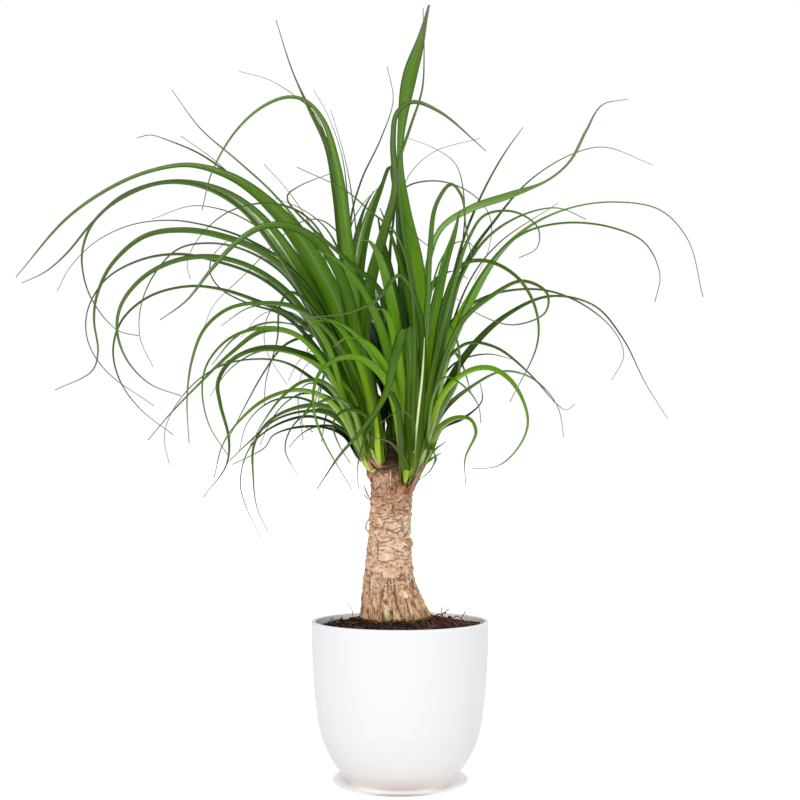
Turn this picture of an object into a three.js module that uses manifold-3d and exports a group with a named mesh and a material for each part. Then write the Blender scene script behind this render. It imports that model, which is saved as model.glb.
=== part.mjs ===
// A ponytail palm in a round-bottomed white pot, in millimetres with +Z up.
// The origin is the centre of the pot's foot, on the surface that it stands on. -Y is the plant's front.
import * as THREE from "three";
import { mergeVertices } from "three/addons/utils/BufferGeometryUtils.js";
import Module from "manifold-3d";

const wasm = await Module();
wasm.setup();

// Pot
const POT_SIDES = 36;
const FOOT_RADIUS = 50;
const FOOT_HEIGHT = 2.6;
const FOOT_EDGE = 0.8;
const POT_HEIGHT = 163;
const POT_FLOOR = 7;
const RIM_RADIUS = 88.5;
const RIM_ROUND = 1.5;
const WALL = 4;
const BOWL_STEPS = 7;
const RIM_START = POT_HEIGHT - RIM_ROUND;
// Radius and height of points on the bowl, outside and inside.
const BOWL_OUTSIDE = [[51, 4], [65.3, 20.3], [78.4, 47], [84.5, 82], [87.6, 125], [RIM_RADIUS, RIM_START]];
const BOWL_INSIDE = [
  [RIM_RADIUS - WALL, RIM_START], [83.6, 125], [80.5, 82], [74.2, 49], [61, 23], [47, POT_FLOOR],
];

// Soil
const SEAT_GAP = 0.3;
const SOIL_AT_WALL = 156.5;
const SOIL_AT_TRUNK = 165;
const SOIL_RADIUS = RIM_RADIUS - WALL - 0.5;
const MOUND_WIDTH = 50;
const SOIL_RINGS = 5;
const CLUMP_HEIGHT = 2.6;

// Trunk
const TRUNK_SIDES = 28;
const RING_SPACING = 8.2;
const RING_HEIGHT = 0.5;
const RIDGE_COUNT = 7;
const RIDGE_HEIGHT = 1.3;
// The ridges fade upward over about this height.
const RIDGE_FADE = 30;
// Radius and height of the bark, from the foot in the soil up to the collar.
const BARK = [
  [30, 120], [35, 133], [37.5, 152], [34.8, 166.6], [31.1, 180.6], [27.2, 194.6], [24.8, 208.7],
  [23.2, 222.7], [21.8, 236.7], [20.7, 250.8], [20.5, 292.8], [22.6, 302.7], [25, 310], [26, 317],
];
// The cut stub that stands on the collar.
const STUB = [[22.5, 322.5], [11, 326], [8.8, 333], [8.5, 343.5]];
// How far the trunk's middle lies from the pot's axis, at each height.
const TRUNK_BEND = [
  [120, -3], [152, -3], [166.6, -5], [180.6, -7.6], [194.6, -10.4], [208.7, -11.4],
  [236.7, -10.9], [264.8, -9.7], [292.8, -8.2], [302.7, -6.1], [317, -5.2], [344, -5.5],
];

// Leaves. Their points are given as they show from a point before the pot, this far off and this high.
const SEEN_FROM = 1500;
const SEEN_HEIGHT = 331;
const SLIMMEST = 6;
const WIDTH_GAIN = 0.6;
const MOST_TWIST = 30;
const RISE = 84;
const ARCH_STEPS = 8;
const LONGEST_STEP = 43;
const FEWEST_STEPS = 5;
const MOST_STEPS = 12;
const TIP_WIDTH = 1.6;
const KEEL_SHARE = 0.16;
const THINNEST = 0.8;
const CORE_SIDES = 10;
const ROOT_HEIGHT = 0.15;
const ROOT_SPREAD = 5;

// Keeping the leaves clear of one another. Leaves of one head may touch, and their roots are fused.
const ROOT_SHARE = 0.22;
const DEPTH_STEP = 8;
const TURN_STEP = 3;
const PLACES_TRIED = 31;
const CHECKED_STEPS = 24;
const LEAST_ROOM = 1.2;
const ROOM_SHARE = 0.33;
const SAME_HEAD_SHARE = 0.4;
const DEGREE = Math.PI / 180;

const BARK_COLOUR = 0xb08b66;
const SOIL_COLOUR = 0x2c1c14;
const POT_COLOUR = 0xf1f0ee;
const LEAF_COLOUR = 0x4f8f2b;

// Seeded random draws from 0 to 1.
function randomDraws(seed) {
  let state = seed;
  return () => {
    state = (state * 16807) % 2147483647;
    return state / 2147483647;
  };
}

// The value at a height, between the listed [height, value] points.
function valueAt(list, height) {
  if (height <= list[0][0]) return list[0][1];
  for (let i = 1; i < list.length; i++) {
    const [low, before] = list[i - 1];
    const [high, after] = list[i];
    if (height <= high) return before + ((after - before) * (height - low)) / (high - low);
  }
  return list[list.length - 1][1];
}

// Solids
function bare(geometry) {
  const shape = new THREE.BufferGeometry();
  shape.setAttribute("position", geometry.getAttribute("position").clone());
  shape.setIndex(geometry.index);
  return mergeVertices(shape, 1e-4);
}

function solidOf(geometry) {
  const closed = bare(geometry);
  return new wasm.Manifold(
    new wasm.Mesh({
      numProp: 3,
      vertProperties: new Float32Array(closed.attributes.position.array),
      triVerts: new Uint32Array(closed.index.array),
    }),
  );
}

function geometryOf(solid) {
  const mesh = solid.getMesh();
  const geometry = new THREE.BufferGeometry();
  geometry.setAttribute("position", new THREE.BufferAttribute(new Float32Array(mesh.vertProperties), 3));
  geometry.setIndex(new THREE.BufferAttribute(new Uint32Array(mesh.triVerts), 1));
  return geometry;
}

function named(name, geometry, colour, roughness) {
  geometry.computeVertexNormals();
  const material = new THREE.MeshStandardMaterial({ color: colour, roughness, metalness: 0 });
  const mesh = new THREE.Mesh(geometry, material);
  mesh.name = name;
  return mesh;
}

// A turned shape round the Z axis, from [radius, height] points that run up its outside.
function turned(profile, sides) {
  const points = profile.map(([radius, height]) => new THREE.Vector2(radius, height));
  return bare(new THREE.LatheGeometry(points, sides)).rotateX(Math.PI / 2);
}

function smooth(points, steps) {
  const curve = new THREE.SplineCurve(points.map(([radius, height]) => new THREE.Vector2(radius, height)));
  return curve.getPoints(steps).map((point) => [point.x, point.y]);
}

// Pot
function potShape() {
  const rim = [];
  for (const angle of [30, 60, 90, 120, 150]) {
    const inward = angle > 90 ? WALL - RIM_ROUND : RIM_ROUND;
    const radius = RIM_RADIUS - inward + RIM_ROUND * Math.cos(angle * DEGREE);
    rim.push([radius, RIM_START + RIM_ROUND * Math.sin(angle * DEGREE)]);
  }
  return turned(
    [
      [0, 0],
      [FOOT_RADIUS - FOOT_EDGE, 0],
      [FOOT_RADIUS, FOOT_EDGE],
      [FOOT_RADIUS, FOOT_HEIGHT],
      ...smooth(BOWL_OUTSIDE, BOWL_STEPS),
      ...rim,
      ...smooth(BOWL_INSIDE, BOWL_STEPS),
      [0, POT_FLOOR],
    ],
    POT_SIDES,
  );
}

// Trunk, made larger all over by grown
function trunkShape(grown = 0) {
  const radii = BARK.map(([radius, height]) => [height, radius]);
  const bottom = radii[0][0];
  const high = radii[radii.length - 1][0] - bottom;
  const rows = Math.round(high / RING_SPACING);
  const profile = [[0, bottom - grown]];
  for (let i = 0; i <= rows; i++) {
    const height = bottom + (high * i) / rows;
    const ring = i % 2 ? RING_HEIGHT : -RING_HEIGHT;
    profile.push([valueAt(radii, height) + ring + grown, i ? height : height - grown]);
  }
  for (const [radius, height] of STUB) profile.push([radius + grown, height + grown]);
  profile.push([0, STUB[STUB.length - 1][1] + grown]);

  const shape = turned(profile, TRUNK_SIDES);
  const at = shape.attributes.position;
  for (let i = 0; i < at.count; i++) {
    const [x, y, z] = [at.getX(i), at.getY(i), at.getZ(i)];
    const fade = Math.exp(-Math.max(0, z - SOIL_AT_WALL) / RIDGE_FADE);
    const ridge = RIDGE_HEIGHT * fade * Math.cos(RIDGE_COUNT * Math.atan2(y, x));
    const radius = Math.hypot(x, y);
    const share = radius > STUB[0][0] - 3 ? 1 + ridge / radius : 1;
    at.setXYZ(i, x * share + valueAt(TRUNK_BEND, z), y * share, z);
  }
  return shape;
}

// Soil, with the trunk's hole
function soilShape() {
  const draw = randomDraws(7);
  const top = [];
  for (let i = 0; i < SOIL_RINGS; i++) {
    const share = i / (SOIL_RINGS - 1);
    top.push([SOIL_RADIUS - MOUND_WIDTH * share, SOIL_AT_WALL + (SOIL_AT_TRUNK - SOIL_AT_WALL) * share]);
  }
  const floor = POT_FLOOR + SEAT_GAP;
  const side = [];
  for (const [radius, height] of smooth(BOWL_INSIDE, BOWL_STEPS).reverse()) {
    if (height < SOIL_AT_WALL - CLUMP_HEIGHT) side.push([radius - SEAT_GAP, Math.max(floor, height)]);
  }
  const shape = turned([[0, floor], ...side, ...top, [0, SOIL_AT_TRUNK]], POT_SIDES);
  const at = shape.attributes.position;
  for (let i = 0; i < at.count; i++) {
    const [x, y, z] = [at.getX(i), at.getY(i), at.getZ(i)];
    const onTop = z > SOIL_AT_WALL - 1 && Math.hypot(x, y) > 1;
    if (onTop) at.setZ(i, z + CLUMP_HEIGHT * (2 * draw() - 1));
  }
  return geometryOf(solidOf(shape).subtract(solidOf(trunkShape(SEAT_GAP))));
}

// A leafy head: where it stands on the collar, and the way that its sheaths lean
function headCore({ base, lean, radius, height }) {
  const profile = [
    [0, 0],
    [radius * 0.7, 0],
    [radius, height * 0.35],
    [radius * 1.05, height * 0.7],
    [radius * 0.7, height],
    [0, height],
  ];
  const up = new THREE.Vector3(...lean).normalize();
  const turn = new THREE.Quaternion().setFromUnitVectors(new THREE.Vector3(0, 0, 1), up);
  return turned(profile, CORE_SIDES).applyQuaternion(turn).translate(...base);
}

// A point that shows at x and z from the front, moved back by depth along the line of sight.
function behind(x, z, depth) {
  const scale = 1 + depth / SEEN_FROM;
  return new THREE.Vector3(x * scale, depth, SEEN_HEIGHT + (z - SEEN_HEIGHT) * scale);
}

// Every leaf of a head starts inside its core.
function rootOf(head) {
  return new THREE.Vector3(...head.lean).multiplyScalar(ROOT_HEIGHT).add(new THREE.Vector3(...head.base));
}

// A leaf given by the width and the [x, z] points that it shows from the front, and by how far back its
// tip lies. A blade that looks narrow is wider than it looks and turned away from the front.
function seen(looks, depth, ...points) {
  const width = SLIMMEST + WIDTH_GAIN * looks;
  const away = Math.acos(Math.min(1, looks / width));
  const rightward = points[points.length - 1][0] > points[0][0];
  const shares = [0];
  for (let i = 1; i < points.length; i++) {
    const step = Math.hypot(points[i][0] - points[i - 1][0], points[i][1] - points[i - 1][1]);
    shares.push(shares[i - 1] + step);
  }
  const whole = shares[shares.length - 1];

  function middles(head, tries) {
    const reach = depth + DEPTH_STEP * tries;
    const start = head.base[1] + Math.max(-ROOT_SPREAD, Math.min(ROOT_SPREAD, reach / 30));
    const shown = points.map(([x, z], i) => {
      const share = shares[i] / whole;
      return behind(x, z, start + reach * share * share * (3 - 2 * share));
    });
    return [rootOf(head), ...shown];
  }

  function upperSide(share, along, twist) {
    const turn = away + twist * (share - 0.4);
    const front = new THREE.Vector3(0, -1, 0);
    front.addScaledVector(along, -front.dot(along)).normalize();
    const sideways = new THREE.Vector3().crossVectors(along, front);
    front.multiplyScalar(Math.cos(turn) * (depth < 0 ? -1 : 1));
    return front.addScaledVector(sideways, Math.sin(turn) * (rightward ? -1 : 1));
  }

  return { width, middles, upperSide };
}

// A leaf that arches outward at an azimuth, given by its length and by how far it bends over, in degrees.
function arching(azimuth, length, bend, width) {
  function middles(head, tries) {
    const outward = (azimuth + TURN_STEP * tries) * DEGREE;
    const at = rootOf(head);
    const points = [at.clone()];
    const step = length / ARCH_STEPS;
    for (let i = 0; i < ARCH_STEPS; i++) {
      const rise = (RISE - bend * ((i + 0.5) / ARCH_STEPS) ** 1.15) * DEGREE;
      at.x += step * Math.cos(rise) * Math.cos(outward);
      at.y += step * Math.cos(rise) * Math.sin(outward);
      at.z += step * Math.sin(rise);
      points.push(at.clone());
    }
    return points;
  }

  function upperSide(share, along, twist) {
    const turn = azimuth * DEGREE + twist * share;
    const across = new THREE.Vector3(-Math.sin(turn), Math.cos(turn), 0);
    return new THREE.Vector3().crossVectors(along, across).normalize();
  }

  return { width, middles, upperSide };
}

// A blade is fullest from a fifth to two fifths of its length, and then narrows to a thread.
function widthShare(share) {
  const opening = Math.min(1, 0.5 + 2.5 * share);
  const taper = Math.max(0, (share - 0.38) / 0.62);
  return opening * (1 - 0.95 * taper ** 1.25);
}

// Two triangles for four corners that run round a face, split so that the face bulges outward. Where a thin
// blade twists, its upper and under sides then can't cross.
function splitOutward(points, [a, b, c, d]) {
  const toB = points[b].clone().sub(points[a]);
  const toC = points[c].clone().sub(points[a]);
  const toD = points[d].clone().sub(points[a]);
  return toB.cross(toC).dot(toD) < 0 ? [a, b, c, a, c, d] : [a, b, d, b, c, d];
}

function bladeShape(leaf) {
  const curve = new THREE.CatmullRomCurve3(leaf.points);
  const steps = Math.max(FEWEST_STEPS, Math.min(MOST_STEPS, Math.round(curve.getLength() / LONGEST_STEP)));
  const corners = [];
  let last = null;
  for (let i = 0; i <= steps; i++) {
    const share = i / steps;
    const middle = curve.getPointAt(share);
    const along = curve.getTangentAt(share);
    const upper = leaf.upperSide(share, along, leaf.twist);
    // A blade doesn't flip over between two steps.
    if (last && last.dot(upper) < 0) upper.negate();
    last = upper;
    const across = new THREE.Vector3().crossVectors(along, upper).normalize();
    const width = Math.max(TIP_WIDTH, leaf.width * widthShare(share));
    const keel = Math.max(THINNEST, KEEL_SHARE * width);
    corners.push(
      middle.clone().addScaledVector(across, width / 2),
      middle.clone().addScaledVector(across, -width / 2),
      middle.clone().addScaledVector(upper, -keel),
    );
  }
  const faces = [0, 1, 2];
  for (let i = 0; i < steps; i++) {
    const [left, right, keel] = [3 * i, 3 * i + 1, 3 * i + 2];
    faces.push(...splitOutward(corners, [left, left + 3, right + 3, right]));
    faces.push(...splitOutward(corners, [right, right + 3, keel + 3, keel]));
    faces.push(...splitOutward(corners, [keel, keel + 3, left + 3, left]));
  }
  const end = 3 * steps;
  faces.push(end, end + 2, end + 1);
  const geometry = new THREE.BufferGeometry();
  geometry.setAttribute("position", new THREE.Float32BufferAttribute(corners.flatMap((at) => [...at]), 3));
  geometry.setIndex(faces);
  return geometry;
}

// How near two straight pieces come, each from a to b.
function gapBetween(one, other) {
  const u = one.b.clone().sub(one.a);
  const v = other.b.clone().sub(other.a);
  const w = one.a.clone().sub(other.a);
  const [uu, uv, vv, uw, vw] = [u.dot(u), u.dot(v), v.dot(v), u.dot(w), v.dot(w)];
  const limit = (value) => Math.max(0, Math.min(1, value));
  const slant = uu * vv - uv * uv;
  let s = slant > 1e-9 ? limit((uv * vw - vv * uw) / slant) : 0;
  const t = limit((uv * s + vw) / vv);
  s = limit((uv * t - uw) / uu);
  return w.addScaledVector(u, s).addScaledVector(v, -t).length();
}

// The straight pieces of a leaf's middle line, with the room that the blade needs there.
function piecesOf(leaf) {
  const curve = new THREE.CatmullRomCurve3(leaf.points);
  const pieces = [];
  for (let i = 0; i < CHECKED_STEPS; i++) {
    const share = (i + 0.5) / CHECKED_STEPS;
    pieces.push({
      a: curve.getPoint(i / CHECKED_STEPS),
      b: curve.getPoint((i + 1) / CHECKED_STEPS),
      room: LEAST_ROOM + ROOM_SHARE * leaf.width * widthShare(share),
      head: leaf.head,
      root: share < ROOT_SHARE,
    });
  }
  return pieces;
}

function roomLeft(pieces, placed) {
  let least = Infinity;
  for (const one of pieces) {
    for (const other of placed) {
      const sameHead = one.head === other.head;
      if (sameHead && (one.root || other.root)) continue;
      const gap = gapBetween(one, other) - (one.room + other.room) * (sameHead ? SAME_HEAD_SHARE : 1);
      if (gap < least) least = gap;
    }
  }
  return least;
}

// Places each leaf of each head where it crosses none that is already there: its own place first, and then
// places on either side of that, ever further off. Where all cross, it takes the one with the most room.
function placeLeaves(heads) {
  const draw = randomDraws(1964);
  const placed = heads.map((head) => {
    const a = new THREE.Vector3(...head.base);
    const b = new THREE.Vector3(...head.lean).setLength(head.height).add(a);
    return { a, b, room: head.radius, head, root: true };
  });
  for (const head of heads) {
    for (const leaf of head.leaves) {
      leaf.head = head;
      leaf.twist = (2 * draw() - 1) * MOST_TWIST * DEGREE;
      let best = -Infinity;
      let chosen = null;
      for (let i = 0; i < PLACES_TRIED && best < 0; i++) {
        const tries = i % 2 ? (i + 1) / 2 : -i / 2;
        leaf.points = leaf.middles(head, tries);
        const pieces = piecesOf(leaf);
        const room = roomLeft(pieces, placed);
        if (room > best) {
          best = room;
          chosen = { points: leaf.points, pieces };
        }
      }
      leaf.points = chosen.points;
      placed.push(...chosen.pieces);
    }
  }
}

// Heads
const leftHead = {
  name: "left_head",
  base: [-23, 0, 309],
  lean: [-7, 0, 44],
  radius: 11,
  height: 62,
  leaves: [
    seen(16, -60, [-24, 328], [-34, 383], [-50, 443], [-70, 493], [-100, 545], [-135, 583], [-168, 606],
      [-210, 618], [-250, 612], [-290, 595], [-334, 564], [-384, 506]),
    seen(15, 90, [-26, 328], [-42, 388], [-62, 438], [-88, 488], [-115, 533], [-150, 574], [-185, 595],
      [-230, 602], [-275, 589], [-307, 561], [-334, 529], [-355, 511], [-378, 500]),
    seen(5, -150, [-28, 331], [-48, 388], [-70, 438], [-95, 485], [-125, 533], [-160, 575], [-200, 597],
      [-240, 600], [-280, 584], [-305, 563], [-316, 540], [-318, 518], [-309, 485], [-283, 453],
      [-261, 447]),
    seen(9, -90, [-30, 331], [-50, 398], [-75, 458], [-105, 503], [-138, 531], [-175, 546], [-215, 553],
      [-255, 547], [-288, 519], [-303, 488], [-306, 463], [-302, 431], [-308, 412], [-345, 393]),
    seen(5, 140, [-30, 328], [-55, 398], [-82, 448], [-110, 483], [-142, 507], [-180, 521], [-220, 529],
      [-260, 523], [-295, 503], [-313, 471], [-312, 441], [-294, 412], [-246, 377]),
    seen(7, -170, [-32, 328], [-55, 393], [-85, 453], [-110, 488], [-145, 514], [-185, 526],
      [-222, 523], [-255, 507], [-278, 480], [-283, 453], [-273, 423], [-250, 399], [-219, 387]),
    seen(5, 180, [-30, 328], [-55, 403], [-85, 463], [-115, 508], [-155, 533], [-190, 540], [-222, 534],
      [-245, 510], [-259, 478], [-260, 445], [-247, 416]),
    seen(3, 60, [-28, 333], [-50, 413], [-82, 483], [-115, 521], [-155, 545], [-195, 558], [-230, 563],
      [-270, 558], [-305, 541], [-330, 516], [-343, 492]),
    seen(3, 200, [-28, 333], [-50, 413], [-80, 483], [-115, 533], [-150, 561], [-180, 574], [-210, 577],
      [-248, 564]),
    seen(4, -120, [-32, 327], [-55, 388], [-80, 443], [-110, 468], [-140, 481], [-175, 493],
      [-210, 497], [-250, 487], [-278, 463], [-287, 433], [-280, 402], [-260, 374], [-227, 348]),
    seen(14, -190, [-23, 328], [-32, 388], [-44, 453], [-60, 508], [-82, 541], [-108, 556], [-135, 557],
      [-162, 542], [-190, 512], [-214, 482], [-240, 463]),
    seen(12, -110, [-22, 328], [-36, 403], [-46, 483], [-54, 553], [-62, 613], [-76, 661], [-94, 682],
      [-112, 686], [-138, 676], [-165, 651], [-188, 611], [-198, 573]),
    seen(14, 40, [-22, 328], [-34, 403], [-45, 473], [-55, 533], [-62, 588], [-72, 635], [-92, 677],
      [-108, 713], [-124, 763]),
    seen(3, 150, [-24, 328], [-40, 413], [-52, 513], [-64, 603], [-82, 665], [-102, 685], [-130, 703],
      [-161, 712]),
    seen(3, 190, [-22, 328], [-34, 413], [-44, 503], [-51, 573], [-58, 628], [-72, 668], [-86, 693]),
    seen(2, 215, [-20, 328], [-30, 413], [-40, 503], [-46, 573], [-55, 625], [-69, 673]),
    seen(5, 110, [-28, 333], [-48, 433], [-70, 508], [-98, 555], [-128, 591], [-162, 622], [-200, 655],
      [-228, 693]),
    seen(6, -40, [-28, 331], [-55, 453], [-100, 548], [-138, 585], [-172, 610], [-200, 629],
      [-230, 642], [-250, 648], [-263, 645]),
    seen(2, 170, [-28, 331], [-58, 450], [-104, 545], [-150, 590], [-188, 625], [-219, 647]),
    seen(2, 220, [-28, 333], [-55, 453], [-80, 538], [-97, 571], [-115, 596], [-136, 619]),
    seen(3, -140, [-28, 333], [-50, 443], [-75, 543], [-100, 571], [-135, 580], [-172, 571],
      [-200, 547], [-213, 521], [-210, 504]),
    seen(6, 70, [-32, 328], [-55, 388], [-82, 433], [-115, 467], [-155, 481], [-180, 495], [-190, 511],
      [-187, 527], [-172, 543]),
    seen(3, 150, [-22, 333], [-34, 453], [-50, 533], [-78, 563], [-100, 561], [-125, 540], [-154, 510],
      [-187, 477], [-197, 453]),
    seen(6, -200, [-32, 327], [-55, 383], [-75, 443], [-102, 474], [-135, 480], [-170, 475],
      [-195, 455], [-208, 423], [-213, 383], [-211, 340]),
    seen(4, 160, [-32, 327], [-55, 393], [-82, 446], [-110, 471], [-138, 469], [-159, 446]),
    seen(5, -150, [-34, 327], [-55, 378], [-80, 425], [-107, 450], [-138, 455], [-170, 445],
      [-192, 421], [-198, 395], [-191, 358], [-171, 326]),
    seen(7, -60, [-32, 327], [-54, 378], [-80, 428], [-110, 451], [-138, 452], [-170, 429], [-200, 400],
      [-230, 369], [-252, 343]),
    seen(5, -220, [-36, 327], [-55, 363], [-75, 385], [-100, 393], [-130, 386], [-157, 366],
      [-178, 337], [-186, 305]),
    seen(6, 190, [-22, 328], [-24, 383], [-34, 425], [-55, 444], [-85, 448], [-115, 438], [-136, 411],
      [-157, 373], [-172, 343]),
    seen(7, -100, [-34, 327], [-52, 378], [-78, 415], [-105, 431], [-138, 435], [-168, 423],
      [-182, 401], [-180, 380], [-171, 343], [-174, 317], [-197, 286]),
    seen(3, 110, [-36, 327], [-55, 375], [-82, 400], [-115, 421], [-150, 424], [-180, 417], [-208, 398],
      [-230, 368], [-236, 345], [-230, 315]),
    seen(2, 230, [-30, 333], [-55, 413], [-90, 465], [-120, 480], [-134, 463], [-134, 433],
      [-113, 398]),
    seen(4, -130, [-28, 333], [-50, 413], [-85, 473], [-110, 491], [-120, 478], [-123, 443],
      [-134, 403], [-136, 378]),
    seen(5, -210, [-36, 326], [-55, 373], [-75, 400], [-95, 402], [-118, 386], [-138, 359],
      [-150, 337]),
    seen(4, 150, [-38, 326], [-55, 358], [-78, 376], [-105, 386], [-134, 379], [-154, 358],
      [-161, 331]),
    seen(5, 200, [-36, 326], [-52, 368], [-75, 387], [-100, 389], [-120, 375], [-133, 355],
      [-140, 338]),
    seen(4, -60, [-38, 326], [-52, 353], [-70, 369], [-95, 372], [-125, 363], [-150, 342],
      [-171, 322]),
    seen(4, -160, [-36, 327], [-50, 365], [-75, 377], [-105, 375], [-132, 361], [-146, 338],
      [-147, 308], [-143, 275], [-132, 251]),
    seen(2.5, 90, [-40, 326], [-55, 347], [-75, 356], [-108, 355], [-128, 347], [-135, 336],
      [-150, 327], [-169, 318]),
    seen(5, -180, [-34, 327], [-45, 368], [-60, 384], [-80, 381], [-95, 371], [-98, 359], [-87, 351]),
    seen(4, 180, [-40, 325], [-50, 345], [-65, 356], [-82, 357], [-100, 348], [-111, 336]),
    seen(2.5, -120, [-38, 326], [-52, 358], [-70, 374], [-92, 371], [-110, 353], [-115, 333],
      [-103, 308]),
    seen(3, 210, [-36, 328], [-50, 378], [-75, 398], [-95, 398], [-102, 383], [-97, 343]),
    seen(4, -150, [-28, 328], [-28, 358], [-40, 371], [-57, 372], [-67, 359], [-60, 336], [-50, 320]),
    seen(2, 60, [-38, 327], [-55, 353], [-90, 367], [-130, 355], [-152, 333], [-160, 299], [-152, 271],
      [-137, 241]),
    seen(3, 200, [-34, 331], [-48, 403], [-65, 436], [-85, 434], [-102, 421], [-112, 402]),
    seen(4, 235, [-34, 330], [-48, 398], [-65, 431], [-85, 425], [-97, 413], [-101, 400]),
    seen(5, 160, [-22, 328], [-34, 413], [-46, 493], [-50, 558], [-39, 602], [-19, 645], [-7, 683],
      [-13, 717]),
    seen(9, -60, [-22, 328], [-34, 413], [-40, 493], [-32, 551], [-20, 591], [-10, 617], [-7, 601],
      [2, 568], [18, 545], [35, 533]),
    seen(14, -130, [-20, 328], [-34, 403], [-36, 453], [-29, 503], [-16, 551], [-5, 593], [-7, 643],
      [-3, 670], [12, 681], [40, 671], [86, 632]),
    seen(5, 120, [-24, 328], [-38, 413], [-50, 493], [-50, 553], [-38, 578], [-20, 597]),
    seen(11, 60, [-22, 328], [-32, 403], [-42, 473], [-40, 533], [-28, 578], [-14, 608]),
    seen(8, 150, [-24, 328], [-38, 413], [-48, 473], [-56, 513], [-63, 536], [-76, 557], [-98, 574],
      [-125, 585]),
    seen(8, 30, [-30, 328], [-42, 388], [-58, 443], [-76, 480], [-96, 520], [-116, 552], [-140, 580]),
    seen(9, 130, [-24, 328], [-36, 403], [-44, 473], [-46, 523], [-42, 553], [-34, 578], [-26, 592]),
    arching(-128, 320, 120, 10),
    arching(128, 350, 130, 11),
    arching(150, 300, 140, 10),
    arching(-108, 270, 112, 9),
    arching(-142, 240, 120, 9),
  ],
};

const frontHead = {
  name: "front_head",
  base: [5, -27, 300],
  lean: [4, -3, 46],
  radius: 7.5,
  height: 58,
  leaves: [
    seen(14, -170, [11, 309], [12, 363], [12, 413], [6, 456], [-4, 431], [-15, 388], [-38, 353],
      [-60, 328], [-83, 294]),
    seen(6, -150, [4, 313], [-3, 378], [-12, 391], [-26, 365], [-39, 333], [-43, 308], [-41, 293]),
    seen(7, -190, [4, 313], [-2, 363], [-15, 403], [-38, 424], [-60, 425], [-80, 411], [-87, 383],
      [-78, 346], [-48, 293]),
    seen(8, -120, [8, 311], [8, 383], [2, 453], [-22, 495], [-55, 525], [-88, 555], [-113, 586],
      [-102, 596], [-68, 610]),
    seen(4, -200, [10, 313], [14, 403], [12, 493], [-4, 549], [-30, 572], [-55, 593], [-103, 616]),
    seen(15, -60, [10, 309], [18, 383], [22, 453], [16, 521], [6, 573], [0, 623], [3, 668], [10, 708],
      [20, 741], [29, 778]),
    seen(7, -110, [12, 309], [20, 393], [14, 483], [2, 563], [-1, 618], [10, 655], [22, 693], [24, 733],
      [23, 775]),
    seen(9, -160, [12, 309], [20, 403], [27, 473], [30, 533], [36, 578], [51, 599], [62, 586],
      [66, 555], [73, 521]),
    seen(10, -90, [13, 309], [17, 373], [25, 443], [38, 495], [50, 535], [59, 569]),
    seen(4, -130, [8, 313], [0, 331], [-15, 343], [-32, 346]),
    seen(3, -100, [10, 320], [14, 343], [13, 363], [5, 371], [-8, 369], [-20, 359]),
    seen(7, 40, [14, 321], [16, 403], [13, 463], [7, 493], [0, 520], [-9, 548], [-20, 575]),
    seen(9, -120, [12, 309], [20, 383], [22, 453], [14, 487], [4, 504], [-1, 508], [-10, 500], [-22, 484],
      [-40, 474], [-62, 468], [-90, 466]),
    arching(-112, 330, 92, 11),
    arching(-84, 360, 98, 12),
    arching(-98, 290, 108, 10),
    arching(-78, 250, 110, 10),
    arching(-124, 270, 104, 9),
  ],
};

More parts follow.
